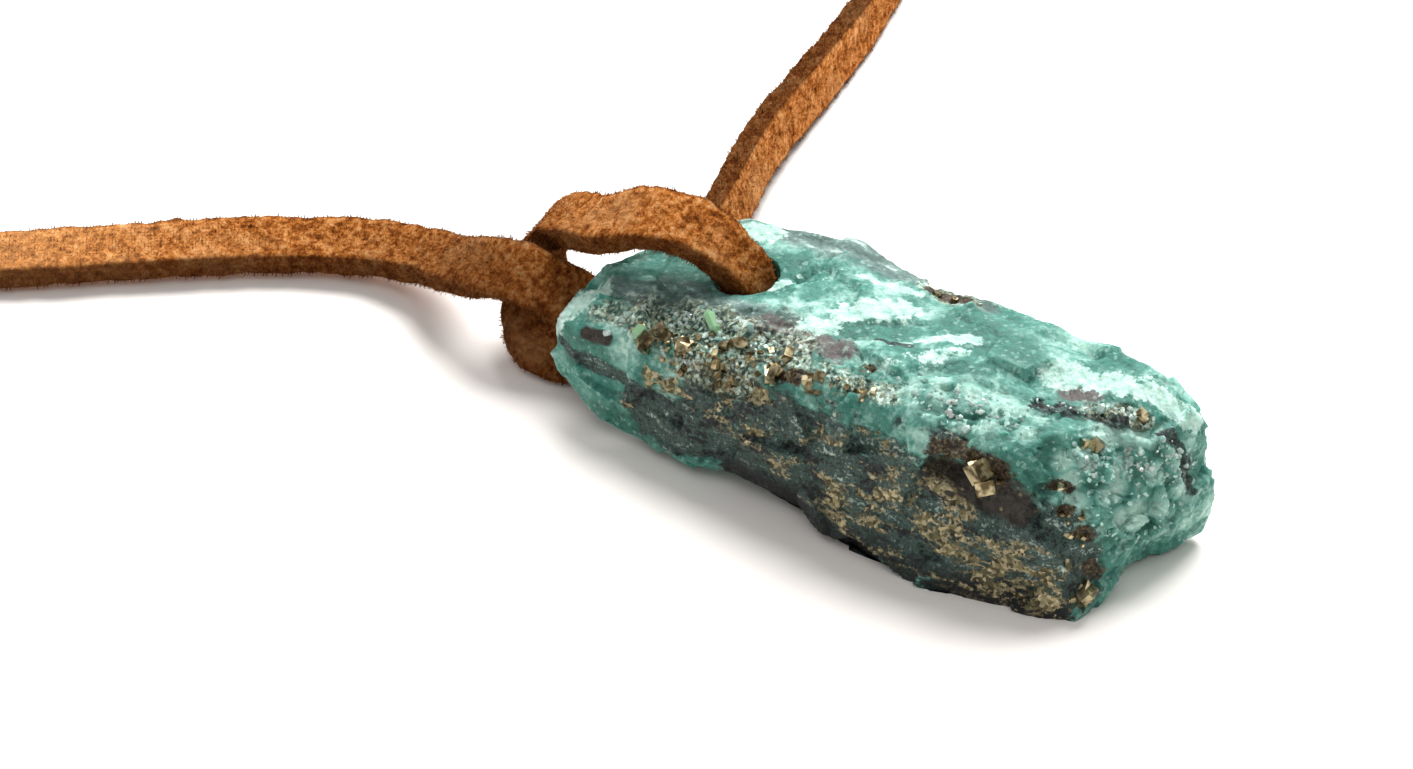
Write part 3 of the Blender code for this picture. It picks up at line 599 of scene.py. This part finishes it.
def strip_section():
    """Points round a rectangle with round corners, as (across, out of its face), unit half.

    The outline is the point (cos a, sin a) pushed out to a superellipse of a high power.
    """
    a = np.arange(2 * (FACE_POINTS + EDGE_POINTS)) / (FACE_POINTS + EDGE_POINTS) * math.pi
    c, s = np.cos(a), np.sin(a)
    reach = (np.abs(c) ** CORNER_POWER + np.abs(s) ** CORNER_POWER) ** (-1 / CORNER_POWER)
    return np.stack([c * reach, s * reach], 1)


def strip_frames(line):
    """The centreline, and the ways across the strip and out of its face."""
    path, look = line[:, :3], line[:, 3:]
    along = unit(np.gradient(path, axis=0))
    look = unit(look - along * (look * along).sum(1, keepdims=True))
    return path, np.cross(look, along), look


def make_strip(name, line, material):
    """The section carried along the line, squeezed in the hole, with its napped relief."""
    path, side, look = strip_frames(line)
    run = run_along(line)
    in_hole = np.exp(-(run / SQUEEZE_REACH) ** 4)[:, None, None]
    section = strip_section()
    width, thickness = 1 - HOLE_SQUEEZE * in_hole, 1 + HOLE_BUNCHING * in_hole
    offset = (section[:, :1] * (LACE_WIDTH / 2 * width) * side[:, None]
              + section[:, 1:] * (LACE_THICK / 2 * thickness) * look[:, None])
    points = (path[:, None] + offset).reshape(-1, 3)
    out = unit(offset).reshape(-1, 3)
    relief = layered(smooth_noise, points, NAP_RELIEF, NAP_SALT)
    points += out * (relief - NAP_RELIEF[0][1])[:, None]
    points[:, 2] = np.maximum(points[:, 2], STRIP_FLOOR)
    rows, columns = len(path), len(section)
    faces = [*grid_faces(rows, columns), np.arange(columns)[::-1],
             np.arange(columns) + (rows - 1) * columns]
    strip = piece(name, points, faces, material)
    edge = np.abs(section[:, 0]) > EDGE_FROM
    # Painted shade near the hole, round the knot and on the cut edges.
    paint_shade(strip, points, np.repeat(run, columns), np.tile(edge, rows))
    return strip, points.reshape(rows, columns, 3), edge


def paint_shade(made, points, distance, edge):
    """Marks the suede's painted shade: near the hole and round the knot, and on its cut edges,
    which are also darker cut leather.

    Near the hole it is a bell curve of the distance along the strip, and round the knot an
    exponential of the distance from its middle, measured in reaches along x, y and z.
    """
    hole = HOLE_PAINTED_SHADE * np.exp(-(distance / HOLE_REACH) ** 2)
    away = np.linalg.norm((points - KNOT_MIDDLE) / KNOT_REACH, axis=1)
    knot = KNOT_PAINTED_SHADE * np.exp(-away)
    mark(made, "painted_shade", np.maximum(np.maximum(hole, EDGE_TONE_AND_SHADE * edge), knot))


def make_nap(name, strip_points, edge, settings, rng, material):
    """Short fibres that stand from the strip: each a ribbon that tapers to its tip."""
    count = int(NEAR_LENGTH / NEAR_STEP) - 2
    rows = rng.integers(1, count, settings.fibre_count)
    columns = rng.integers(0, strip_points.shape[1], settings.fibre_count)
    root = strip_points[rows, columns]
    out = unit(root - strip_points[rows].mean(1))
    along = unit(strip_points[rows + 1, columns] - strip_points[rows - 1, columns])
    lean = unit(rng.normal(size=(settings.fibre_count, 3)))
    share = rng.uniform(SHORTEST_FIBRE, 1, (settings.fibre_count, 1))
    tall = settings.fibre_length / MM * share
    bend = root + (out * BEND_OUT + lean * BEND_LEAN) * tall
    tip = bend + (out * TIP_OUT + lean * TIP_LEAN + along * TIP_ALONG) * tall
    flat = unit(np.cross(out, lean)) * FIBRE_WIDTH / 2
    thin = flat * FIBRE_TAPER
    points = np.stack([root - flat, root + flat, bend + thin, bend - thin, tip], 1)
    points[..., 2] = np.maximum(points[..., 2], NAP_FLOOR)
    first = np.arange(settings.fibre_count)[:, None] * 5
    faces = [*(first + (0, 1, 2, 3)), *(first + (3, 2, 4))]
    corners = points.shape[1]
    points = points.reshape(-1, 3)
    nap = piece(name, points, faces, material)
    # The fibres take the same painted shade as the strip under them.
    paint_shade(nap, points, np.repeat(rows * NEAR_STEP, corners), np.repeat(edge[columns], corners))
    return nap


def make_leg(name, route, coil_z, settings, seed, materials):
    """One leg of the lace with its nap."""
    line = lace_line(route, coil_z)
    rng = np.random.default_rng(seed)
    strip, points, edge = make_strip("suede_" + name, line, materials[0])
    nap = make_nap("nap_" + name, points, edge, settings, rng, materials[1])
    belongs(strip, "suede", name, name + "_coil")
    belongs(nap, "suede")


# Materials

def linear(code):
    """An sRGB hex colour as linear red, green, blue and alpha."""
    srgb = np.array([int(code[k:k + 2], 16) for k in (1, 3, 5)]) / 255
    flat = np.where(srgb <= 0.04045, srgb / 12.92, ((srgb + 0.055) / 1.055) ** 2.4)
    return (*flat, 1.0)


def give(node, inputs):
    """Gives a node's inputs values or links."""
    for name, value in inputs.items():
        if isinstance(value, bpy.types.NodeSocket):
            node.id_data.links.new(value, node.inputs[name])
        else:
            node.inputs[name].default_value = value


def add(tree, kind, inputs=None, **settings):
    """Adds a shader node with its settings and inputs."""
    node = tree.nodes.new("ShaderNode" + kind)
    for name, value in settings.items():
        setattr(node, name, value)
    give(node, inputs or {})
    return node


def new_material(name):
    """An empty node material: its tree, its Principled shader and Object coordinates."""
    made = bpy.data.materials.new(name)
    made.use_nodes = True
    tree = made.node_tree
    return made, tree, tree.nodes["Principled BSDF"], add(tree, "TexCoord").outputs["Object"]


def blend(tree, factor, a, b):
    """The colour a turned to b by a factor."""
    return add(tree, "Mix", {0: factor, 6: a, 7: b}, data_type="RGBA").outputs[2]


def noise(tree, at, size, detail=5.0, rough=0.65):
    """Cloudy noise of a size in millimetres, 0 to 1 about a half."""
    return add(tree, "TexNoise", {"Vector": at, "Scale": 1 / (size * MM), "Detail": detail,
                                  "Roughness": rough}).outputs["Fac"]


def cells(tree, at, size):
    """Cells of a size in millimetres: their own random colour, and distance from their seed."""
    return add(tree, "TexVoronoi", {"Vector": at, "Scale": 1 / (size * MM)}).outputs


def attribute(tree, name):
    return add(tree, "Attribute", attribute_name=name).outputs["Fac"]


def ease(tree, value, low, high, start=0.0, end=1.0):
    """Start where a value is below low, end above high, and a smooth change between."""
    return add(tree, "MapRange", {"Value": value, "From Min": low, "From Max": high,
                                  "To Min": start, "To Max": end},
               interpolation_type="SMOOTHSTEP").outputs[0]


def math_of(tree, operation, *values):
    return add(tree, "Math", dict(enumerate(values)), operation=operation).outputs[0]


def plus(tree, value, *shares):
    """A value plus others, each given as (value, share)."""
    for other, share in shares:
        value = math_of(tree, "ADD", value, math_of(tree, "MULTIPLY", other, share))
    return value


def ragged(tree, zone, pattern):
    """A zone's mask, 0 to 1: its closeness, roughened by a pattern and cut near zero."""
    amount, soft = RIMS[zone]
    rough = math_of(tree, "SUBTRACT", pattern, 0.5)
    both = math_of(tree, "MULTIPLY_ADD", rough, amount, attribute(tree, zone))
    return ease(tree, both, -soft, soft)


def ramp(tree, value, settings, stops, sharp=False):
    """The colour of the last stop below a value, or a smooth change between stops.

    Each stop is a place and the name of a colour in the settings.
    """
    node = add(tree, "ValToRGB", {"Fac": value})
    node.color_ramp.interpolation = "CONSTANT" if sharp else "LINEAR"
    marks = node.color_ramp.elements
    while len(marks) < len(stops):
        marks.new(1.0)
    for stop, (place, name) in zip(marks, stops, strict=True):
        stop.position, stop.color = place, linear(getattr(settings, name))
    return node.outputs["Color"]


def bumped(tree, height, strength, distance):
    """The surface's direction, turned by a height of at most a distance in millimetres."""
    return add(tree, "Bump", {"Height": height, "Strength": strength,
                              "Distance": distance * MM}).outputs[0]


# How each mineral's rim is made ragged: by how much of a pattern, and how softly.
RIMS = {"deep": (2.2, 0.4), "grey": (2.0, 0.45), "mauve": (2.5, 0.3), "milky": (3.2, 0.16),
        "globes": (1.5, 0.3), "foot": (3.0, 0.6), "mica": (2.0, 0.14), "druse": (2.6, 0.35),
        "clay": (1.8, 0.22), "rust": (2.4, 0.2), "pyrite_film": (1.4, 0.15)}
# The minerals' colours over a pattern, as places and names of colours in the settings.
TINTS = {
    "green": [(0.56, "deep"), (0.63, "emerald"), (0.73, "teal"), (0.82, "pale"),
              (0.91, "milky")],
    "deep": [(0.36, "deep"), (0.66, "teal")],
    "grey": [(0.38, "slate"), (0.52, "smoke"), (0.6, "flake"), (0.7, "white")],
    "mauve": [(0.0, "mauve"), (1.0, "mauve")],
    "milky": [(0.34, "pale"), (0.5, "milky"), (0.68, "white")],
    # Over a globe's place: painted shade, deep green in the seams, to painted light, milky on the
    # tops.
    "globes": [(0.66, "deep"), (0.78, "teal"), (0.88, "pale"), (0.97, "milky")],
    "mica": [(0.66, "mica"), (0.74, "schist"), (0.8, "slate"), (0.86, "schist"),
             (0.93, "flake"), (1.0, "frost")],
    "druse": [(0.0, "mica"), (0.18, "schist"), (0.25, "slate"), (0.32, "film_stain"),
              (0.38, "olive"), (0.48, "pyrite_film"), (0.53, "frost"), (0.65, "pale"),
              (0.7, "white")],
    "rust": [(0.4, "mica"), (0.52, "rust"), (0.64, "pyrite_film")],
    "pyrite_film": [(0.0, "film_stain"), (0.35, "pyrite_film"), (0.9, "pyrite")]}
# Sizes of the stone's patterns, with their detail and roughness where they have their own.
CLOUD, SUGAR, GRIT = (2.4,), (0.5, 6.0, 0.72), (0.16,)
BANDS, ISLANDS = (0.8, 7.0, 0.7), (1.0, 5.0, 0.62)
BAND_TURN, BAND_STRETCH = (0, 0.14, 0.1), (0.42, 1, 1)
GRAIN_CELLS, LEAN_CELLS, DOT_CELLS, GAP_CELLS = 0.17, 0.22, 0.8, 0.42
# Where a pattern starts and ends to show, and what it then goes from and to.
VEINS = (0.56, 0.68, 0.0, 0.6)
# Where single grains turn to milky flecks: partly milky quartz, partly painted glints.
FLECKS_AND_GLINTS = (0.9, 0.94)
PATCHES = (0.38, 0.66, 0.0, 0.45)
DOTS = (0.1, 0.14, 1.0, 0.0)
GAPS, FILM_ISLANDS = (0.26, 0.42), (0.69, 0.75)
GRAIN_SHADES = (0.0, 1.0, -0.24, 0.2)
GREEN_ROUGHNESS = (0.3, 0.75, 0.3, 0.7)
GREEN_DEPTH = (0.0, 1.0, 0.35, 0.0)  # of light under the surface, by how opaque it is
# The first two: how strongly the globes take their painted light and shade, and how much the
# milky flecks, partly painted glints, show away from the globes.
GLOBE_SHADING_SHARE, FLECK_GLINT_SHARE, DRUSE_SHARE, CLEAR_GLITTER = 0.75, 0.3, 0.8, 0.4
FILM_SHINE = 0.4
SPECKS, CLUMPS, WEAR = (0.34, 6.0, 0.8), (1.0,), (4.0,)  # the suede's patterns
WORN = (0.5, 0.7, 0.0, 0.35)


def green_quartz(tree, settings, cloud, sugar, grit, bands):
    """Emerald in quartz: clouded green with slaty veins and deep, grey, mauve and milky parts."""
    green = ramp(tree, plus(tree, cloud, (sugar, 0.35), (grit, 0.12)), settings, TINTS["green"])
    green = blend(tree, ease(tree, bands, *VEINS), green, linear(settings.slate))
    for zone, pattern in (("deep", sugar), ("grey", bands), ("mauve", bands), ("milky", sugar)):
        tint = ramp(tree, pattern, settings, TINTS[zone])
        green = blend(tree, ragged(tree, zone, sugar), green, tint)
    return green


def emerald_material(settings):
    """Emerald and quartz with mica schist, a druse of small grains, pyrite film and clay.

    The green is translucent and lets light bleed through. Mica, druse and film are opaque
    and glitter, because each tiny facet of theirs leans its own way.
    """
    made, tree, shader, at = new_material("broken emerald quartz and mica")
    cloud, sugar, grit = (noise(tree, at, *pattern) for pattern in (CLOUD, SUGAR, GRIT))
    along = add(tree, "Mapping", {"Vector": at, "Rotation": BAND_TURN,
                                  "Scale": BAND_STRETCH}).outputs[0]
    bands, islands = noise(tree, along, *BANDS), noise(tree, along, *ISLANDS)
    grains = add(tree, "SeparateColor", {"Color": cells(tree, at, GRAIN_CELLS)["Color"]}).outputs
    green = green_quartz(tree, settings, cloud, sugar, grit, bands)

    globes = ragged(tree, "globes", sugar)
    # Painted shade in the globes' seams and painted light on their tops.
    bead = ramp(tree, attribute(tree, "bead"), settings, TINTS["globes"])
    green = blend(tree, math_of(tree, "MULTIPLY", globes, GLOBE_SHADING_SHARE), green, bead)
    # Milky flecks on single grains, most on the globes: partly milky quartz, partly painted
    # glints.
    fleck_and_glint = math_of(tree, "MULTIPLY", ease(tree, grains["Green"], *FLECKS_AND_GLINTS),
                    math_of(tree, "MAXIMUM", globes, FLECK_GLINT_SHARE))
    green = blend(tree, fleck_and_glint, green, linear(settings.milky))

    mica = ramp(tree, plus(tree, bands, (grit, 0.6)), settings, TINTS["mica"])
    mica = blend(tree, ragged(tree, "foot", bands), mica, linear(settings.mica))
    mica_mask = ragged(tree, "mica", bands)
    stone = blend(tree, mica_mask, green, mica)

    patch = plus(tree, ease(tree, sugar, *PATCHES), (grains["Red"], 0.55))
    druse = ramp(tree, patch, settings, TINTS["druse"], sharp=True)
    druse_mask = ragged(tree, "druse", bands)
    stone = blend(tree, math_of(tree, "MULTIPLY", druse_mask, DRUSE_SHARE), stone, druse)

    clay_mask = ragged(tree, "clay", bands)
    dots = ease(tree, cells(tree, at, DOT_CELLS)["Distance"], *DOTS)
    clay = blend(tree, dots, linear(settings.clay), linear(settings.pyrite_film))
    stone = blend(tree, clay_mask, stone, clay)
    rust = ramp(tree, grit, settings, TINTS["rust"])
    stone = blend(tree, ragged(tree, "rust", sugar), stone, rust)

    film = math_of(tree, "MULTIPLY", ragged(tree, "pyrite_film", bands),
                   ease(tree, plus(tree, islands, (grit, 0.4)), *FILM_ISLANDS))
    film = math_of(tree, "MULTIPLY", film,
                   ease(tree, cells(tree, along, GAP_CELLS)["Distance"], *GAPS))
    brass = ramp(tree, grains["Red"], settings, TINTS["pyrite_film"])
    stone = blend(tree, film, stone, brass)

    opaque = math_of(tree, "MAXIMUM", mica_mask, math_of(tree, "MAXIMUM", druse_mask, clay_mask))
    grainy = math_of(tree, "MAXIMUM", opaque, CLEAR_GLITTER)
    shade = math_of(tree, "MULTIPLY", grainy, ease(tree, grains["Blue"], *GRAIN_SHADES))
    stone = add(tree, "HueSaturation", {"Value": math_of(tree, "ADD", shade, 1.0),
                                        "Color": stone}).outputs["Color"]
    lean = add(tree, "VectorMath", {0: cells(tree, at, LEAN_CELLS)["Color"], 1: (0.5, 0.5, 0.5)},
               operation="SUBTRACT").outputs[0]
    glitter = math_of(tree, "MULTIPLY", settings.glitter, grainy)
    lean = add(tree, "VectorMath", {0: lean, "Scale": glitter}, operation="SCALE").outputs[0]
    layers = math_of(tree, "ADD", plus(tree, sugar, (bands, mica_mask)), grit)
    turned = add(tree, "VectorMath", {0: bumped(tree, layers, 0.8, 0.1), 1: lean},
                 operation="ADD").outputs[0]
    turned = add(tree, "VectorMath", {0: turned}, operation="NORMALIZE").outputs[0]
    give(shader, {
        "Base Color": stone, "Normal": turned, "Roughness": ease(tree, sugar, *GREEN_ROUGHNESS),
        "Metallic": math_of(tree, "MULTIPLY", film, FILM_SHINE), "IOR": 1.38,
        "Subsurface Weight": ease(tree, opaque, *GREEN_DEPTH),
        "Subsurface Radius": (0.55, 1.0, 0.85), "Subsurface Scale": 1.0 * MM})
    return made


def pyrite_material(settings):
    """Pyrite: an opaque brassy metal with bright flat faces, stained brown in places."""
    made, tree, shader, at = new_material("crystalline pyrite")
    stain = add(tree, "MapRange", {"Value": noise(tree, at, 0.5, 4.0, 0.5),
                                   "From Min": 0.42, "From Max": 0.6}).outputs[0]
    give(shader, {"Base Color": blend(tree, stain, linear(settings.pyrite),
                                      linear(settings.pyrite_stain)),
                  "Metallic": 1.0, "Roughness": 0.34})
    return made


def glassy_material(settings, name, dark, light):
    """Quartz or beryl: clear and a little milky inside, with sharp bright faces."""
    made, tree, shader, at = new_material(name)
    tint = ramp(tree, noise(tree, at, 1.1, 3.0), settings, [(0.4, dark), (0.62, light)])
    give(shader, {"Base Color": tint, "Roughness": 0.12, "IOR": 1.55,
                  "Transmission Weight": 0.35, "Subsurface Weight": 0.4,
                  "Subsurface Radius": (0.5, 1.0, 0.9), "Subsurface Scale": 0.6 * MM})
    return made


def suede_material(settings, name, light):
    """Suede: leather split and napped, so it is matt, speckled and glows at its edges. It has
    painted shade in the hollows of its nap, near the hole, round the knot and on its cut edges,
    and painted highlights on its tufts.
    """
    made, tree, shader, at = new_material(name)
    specks, clumps, wear = (noise(tree, at, *pattern) for pattern in (SPECKS, CLUMPS, WEAR))
    mixed = plus(tree, specks, (clumps, 0.4))
    # The suede's own mottled tone, on the same pattern as its bump: painted shade in the bump's
    # hollows and painted highlights on its tufts.
    brown = ramp(tree, mixed, settings, [(0.5, "hollow"), (0.64, "dark"), (0.72, light),
                                         (0.84, "wear_and_highlight")])
    along = add(tree, "SeparateXYZ", {"Vector": at}).outputs["X"]
    # Paler in worn patches and towards the left end.
    paler = math_of(tree, "MAXIMUM", ease(tree, wear, *WORN), ease(tree, along, *PALER_LEFTWARD))
    brown = blend(tree, paler, brown, linear(settings.wear_and_highlight))
    # Painted shade near the hole, round the knot and on the cut edges, in the hollows' dark
    # brown.
    brown = blend(tree, attribute(tree, "painted_shade"), brown, linear(settings.hollow))
    give(shader, {"Base Color": brown, "Roughness": 0.95, "IOR": 1.12,
                  "Normal": bumped(tree, mixed, 0.9, 0.16)})
    return made


# Stage

def aim(thing, place, target):
    """Puts a camera or light at a place and turns it to look at a target."""
    thing.location = place
    thing.rotation_euler = (Vector(target) - Vector(place)).to_track_quat("-Z", "Y").to_euler()
    bpy.context.scene.collection.objects.link(thing)


def around(target, azimuth, elevation, distance):
    """The place at angles in radians and a distance from a target; azimuth 0 looks along +Y."""
    level = math.cos(elevation) * distance
    return Vector(target) + Vector((math.sin(azimuth) * level, -math.cos(azimuth) * level,
                                    math.sin(elevation) * distance))


def soft_light(name, azimuth, elevation, distance, size, power, target):
    light = bpy.data.lights.new(name, "AREA")
    light.shape = "DISK"
    light.size = size
    light.energy = power
    aim(bpy.data.objects.new(name, light), around(target, math.radians(azimuth),
                                                  math.radians(elevation), distance), target)


# Settings that a user would change

def setting(kind, name, description, default, **limits):
    """A setting whose kind is String, Int, Float or FloatVector."""
    return getattr(bpy.props, kind + "Property")(name=name, description=description,
                                                 default=default, **limits)


def colour(name, default):
    return setting("String", name, f"{name}, as an sRGB hex colour", default)


class StoneSettings(bpy.types.PropertyGroup):
    emerald: colour("Emerald", "#2D7164")
    teal: colour("Teal quartz", "#4A8779")
    pale: colour("Pale quartz", "#83B2A5")
    milky: colour("Milky quartz", "#AFD3C6")
    white: colour("White quartz", "#D2E4DB")
    deep: colour("Deep emerald", "#1B5748")
    smoke: colour("Smoky quartz", "#5F7772")
    beryl: colour("Pale beryl", "#9CC89A")
    frost: colour("Frosted quartz", "#B6C0AA")
    olive: colour("Olive grains", "#8A9072")
    mauve: colour("Mauve mica", "#5D5856")
    mica: colour("Black mica", "#0F1414")
    schist: colour("Mica schist", "#1F2928")
    slate: colour("Green schist", "#405B52")
    flake: colour("Mica flakes", "#76908A")
    clay: colour("Clay patches", "#2F2A24")
    rust: colour("Rusty pits", "#45331F")
    film_stain: colour("Stained film", "#3B372A")
    pyrite_film: colour("Pyrite film", "#6E6745")
    pyrite: colour("Pyrite", "#B8AB88")
    pyrite_stain: colour("Stained pyrite", "#564A34")
    glitter: setting("Float", "Glitter", "How far the tiny facets turn away from the surface",
                     0.8, min=0, max=1)
    pyrite_count: setting("Int", "Pyrite crystals", "How many loose pyrite cubes", 80, min=1)
    pyrite_seed: setting("Int", "Pyrite seed", "Start of their random order", 4)
    quartz_count: setting("Int", "Quartz crystals", "How many small quartz grains", 380, min=1)
    quartz_seed: setting("Int", "Quartz seed", "Start of their random order", 9)


class LaceSettings(bpy.types.PropertyGroup):
    light: colour("Suede", "#CA7B36")
    dark: colour("Dark suede", "#93511F")
    # The dark brown of the painted shade: in the nap's hollows, near the hole, round the knot and
    # on the cut edges.
    hollow: colour("Suede hollows", "#3C1A08")
    # The pale of worn patches and of the painted highlights on the nap's tufts.
    wear_and_highlight: colour("Worn suede", "#E9B074")
    fibre: colour("Nap fibres", "#D88E4A")
    fibre_count: setting("Int", "Fibres", "How many fibres stand from each leg", 60000, min=1)
    fibre_length: setting("Float", "Fibre length", "Longest fibre", 0.2 * MM, min=0,
                          subtype="DISTANCE", unit="LENGTH")


class StageSettings(bpy.types.PropertyGroup):
    floor: colour("Floor", "#FAF5F0")
    azimuth: setting("Float", "Camera azimuth", "Turn of the camera about the vertical",
                     math.radians(36), subtype="ANGLE")
    elevation: setting("Float", "Camera elevation", "Height of the camera above level",
                       math.radians(35), subtype="ANGLE")
    distance: setting("Float", "Camera distance", "From the camera to its target", 0.17,
                      subtype="DISTANCE", unit="LENGTH")
    target: setting("FloatVector", "Camera target", "Where the camera looks",
                    (-0.01014, 0.00105, 0), subtype="TRANSLATION", unit="LENGTH")
    lens: setting("Float", "Lens", "Focal length in millimetres, for a 36 mm frame", 90)


FLOOR_SIZE, FLOOR_DEPTH = 3.0, 0.01  # metres across, and millimetres below the frame
# Azimuth and elevation in degrees, distance and size in metres, and power in watts.
LIGHTS = {"window": (196, 56, 0.5, 0.4, 5.0), "fill": (20, 60, 0.6, 0.4, 0.5)}
ROOM_LIGHT = 0.46


class EMERALD_OT_stage(bpy.types.Operator):
    """Adds the pale floor, the soft lights and the camera"""
    bl_idname = "emerald.stage"
    bl_label = "Stage"

    def execute(self, context):
        stage = context.scene.emerald_stage
        bpy.ops.mesh.primitive_plane_add(size=FLOOR_SIZE, location=(0, 0, -FLOOR_DEPTH * MM))
        floor = context.object
        floor.name = "floor"
        made, _, shader, _ = new_material("matt white card")
        give(shader, {"Base Color": linear(stage.floor), "Roughness": 0.9})
        floor.data.materials.append(made)
        camera = bpy.data.objects.new("camera", bpy.data.cameras.new("camera"))
        camera.data.lens = stage.lens
        camera.data.clip_start = 0.005
        aim(camera, around(stage.target, stage.azimuth, stage.elevation, stage.distance),
            stage.target)
        context.scene.camera = camera
        for name, light in LIGHTS.items():
            soft_light(name, *light, stage.target)
        world = bpy.data.worlds.new("room")
        world.use_nodes = True
        give(world.node_tree.nodes["Background"], {"Color": (1, 1, 1, 1),
                                                   "Strength": ROOM_LIGHT})
        context.scene.world = world
        context.scene.view_settings.view_transform = "Standard"
        return {"FINISHED"}


class EMERALD_OT_lace(bpy.types.Operator):
    """Adds the two legs of the suede lace with their nap and coils"""
    bl_idname = "emerald.lace"
    bl_label = "Lace"

    def execute(self, context):
        lace = context.scene.emerald_lace
        materials = (suede_material(lace, "napped suede", "light"),
                     suede_material(lace, "suede fibres", "fibre"))
        make_leg("lace_lower", LOWER_LEG, LOWER_COIL_Z, lace, 2, materials)
        make_leg("lace_upper", UPPER_LEG, UPPER_COIL_Z, lace, 3, materials)
        return {"FINISHED"}


class EMERALD_OT_stone(bpy.types.Operator):
    """Adds the drilled stone and its pyrite, quartz and beryl crystals"""
    bl_idname = "emerald.stone"
    bl_label = "Stone"

    def execute(self, context):
        settings = context.scene.emerald_stone
        stone = make_stone(emerald_material(settings))
        pyrite = make_pyrite(stone, settings, pyrite_material(settings))
        quartz = make_quartz(stone, settings,
                             glassy_material(settings, "glassy quartz", "pale", "white"))
        beryl = make_beryl(settings, glassy_material(settings, "pale beryl", "beryl", "beryl"))
        belongs(stone, "emerald_matrix", "stone")
        for crystals in (pyrite, quartz, beryl):
            belongs(crystals, "emerald_matrix")
        return {"FINISHED"}


class EMERALD_PT_panel(bpy.types.Panel):
    """Lists the pieces of the emerald and its lace"""
    bl_idname = "EMERALD_PT_panel"
    bl_label = "Emerald in matrix"
    bl_space_type = "VIEW_3D"
    bl_region_type = "UI"
    bl_category = "Emerald"

    def draw(self, context):
        for step in OPERATORS:
            self.layout.operator(step.bl_idname)
        for group, settings in SETTINGS.items():
            held = getattr(context.scene, group)
            for name in settings.__annotations__:
                self.layout.prop(held, name)


SETTINGS = {"emerald_stone": StoneSettings, "emerald_lace": LaceSettings,
            "emerald_stage": StageSettings}
OPERATORS = [EMERALD_OT_stage, EMERALD_OT_lace, EMERALD_OT_stone]


def register():
    for cls in (*SETTINGS.values(), *OPERATORS, EMERALD_PT_panel):
        bpy.utils.register_class(cls)
    for name, settings in SETTINGS.items():
        setattr(bpy.types.Scene, name, bpy.props.PointerProperty(type=settings))


def unregister():
    for name in SETTINGS:
        delattr(bpy.types.Scene, name)
    for cls in (EMERALD_PT_panel, *reversed(OPERATORS), *SETTINGS.values()):
        bpy.utils.unregister_class(cls)


def corners(bounds):
    return [list(map(float, corner)) for corner in bounds]


def main():
    register()
    bpy.ops.emerald.stage()
    bpy.ops.emerald.lace()
    bpy.ops.emerald.stone()


if __name__ == "__main__":
    main()
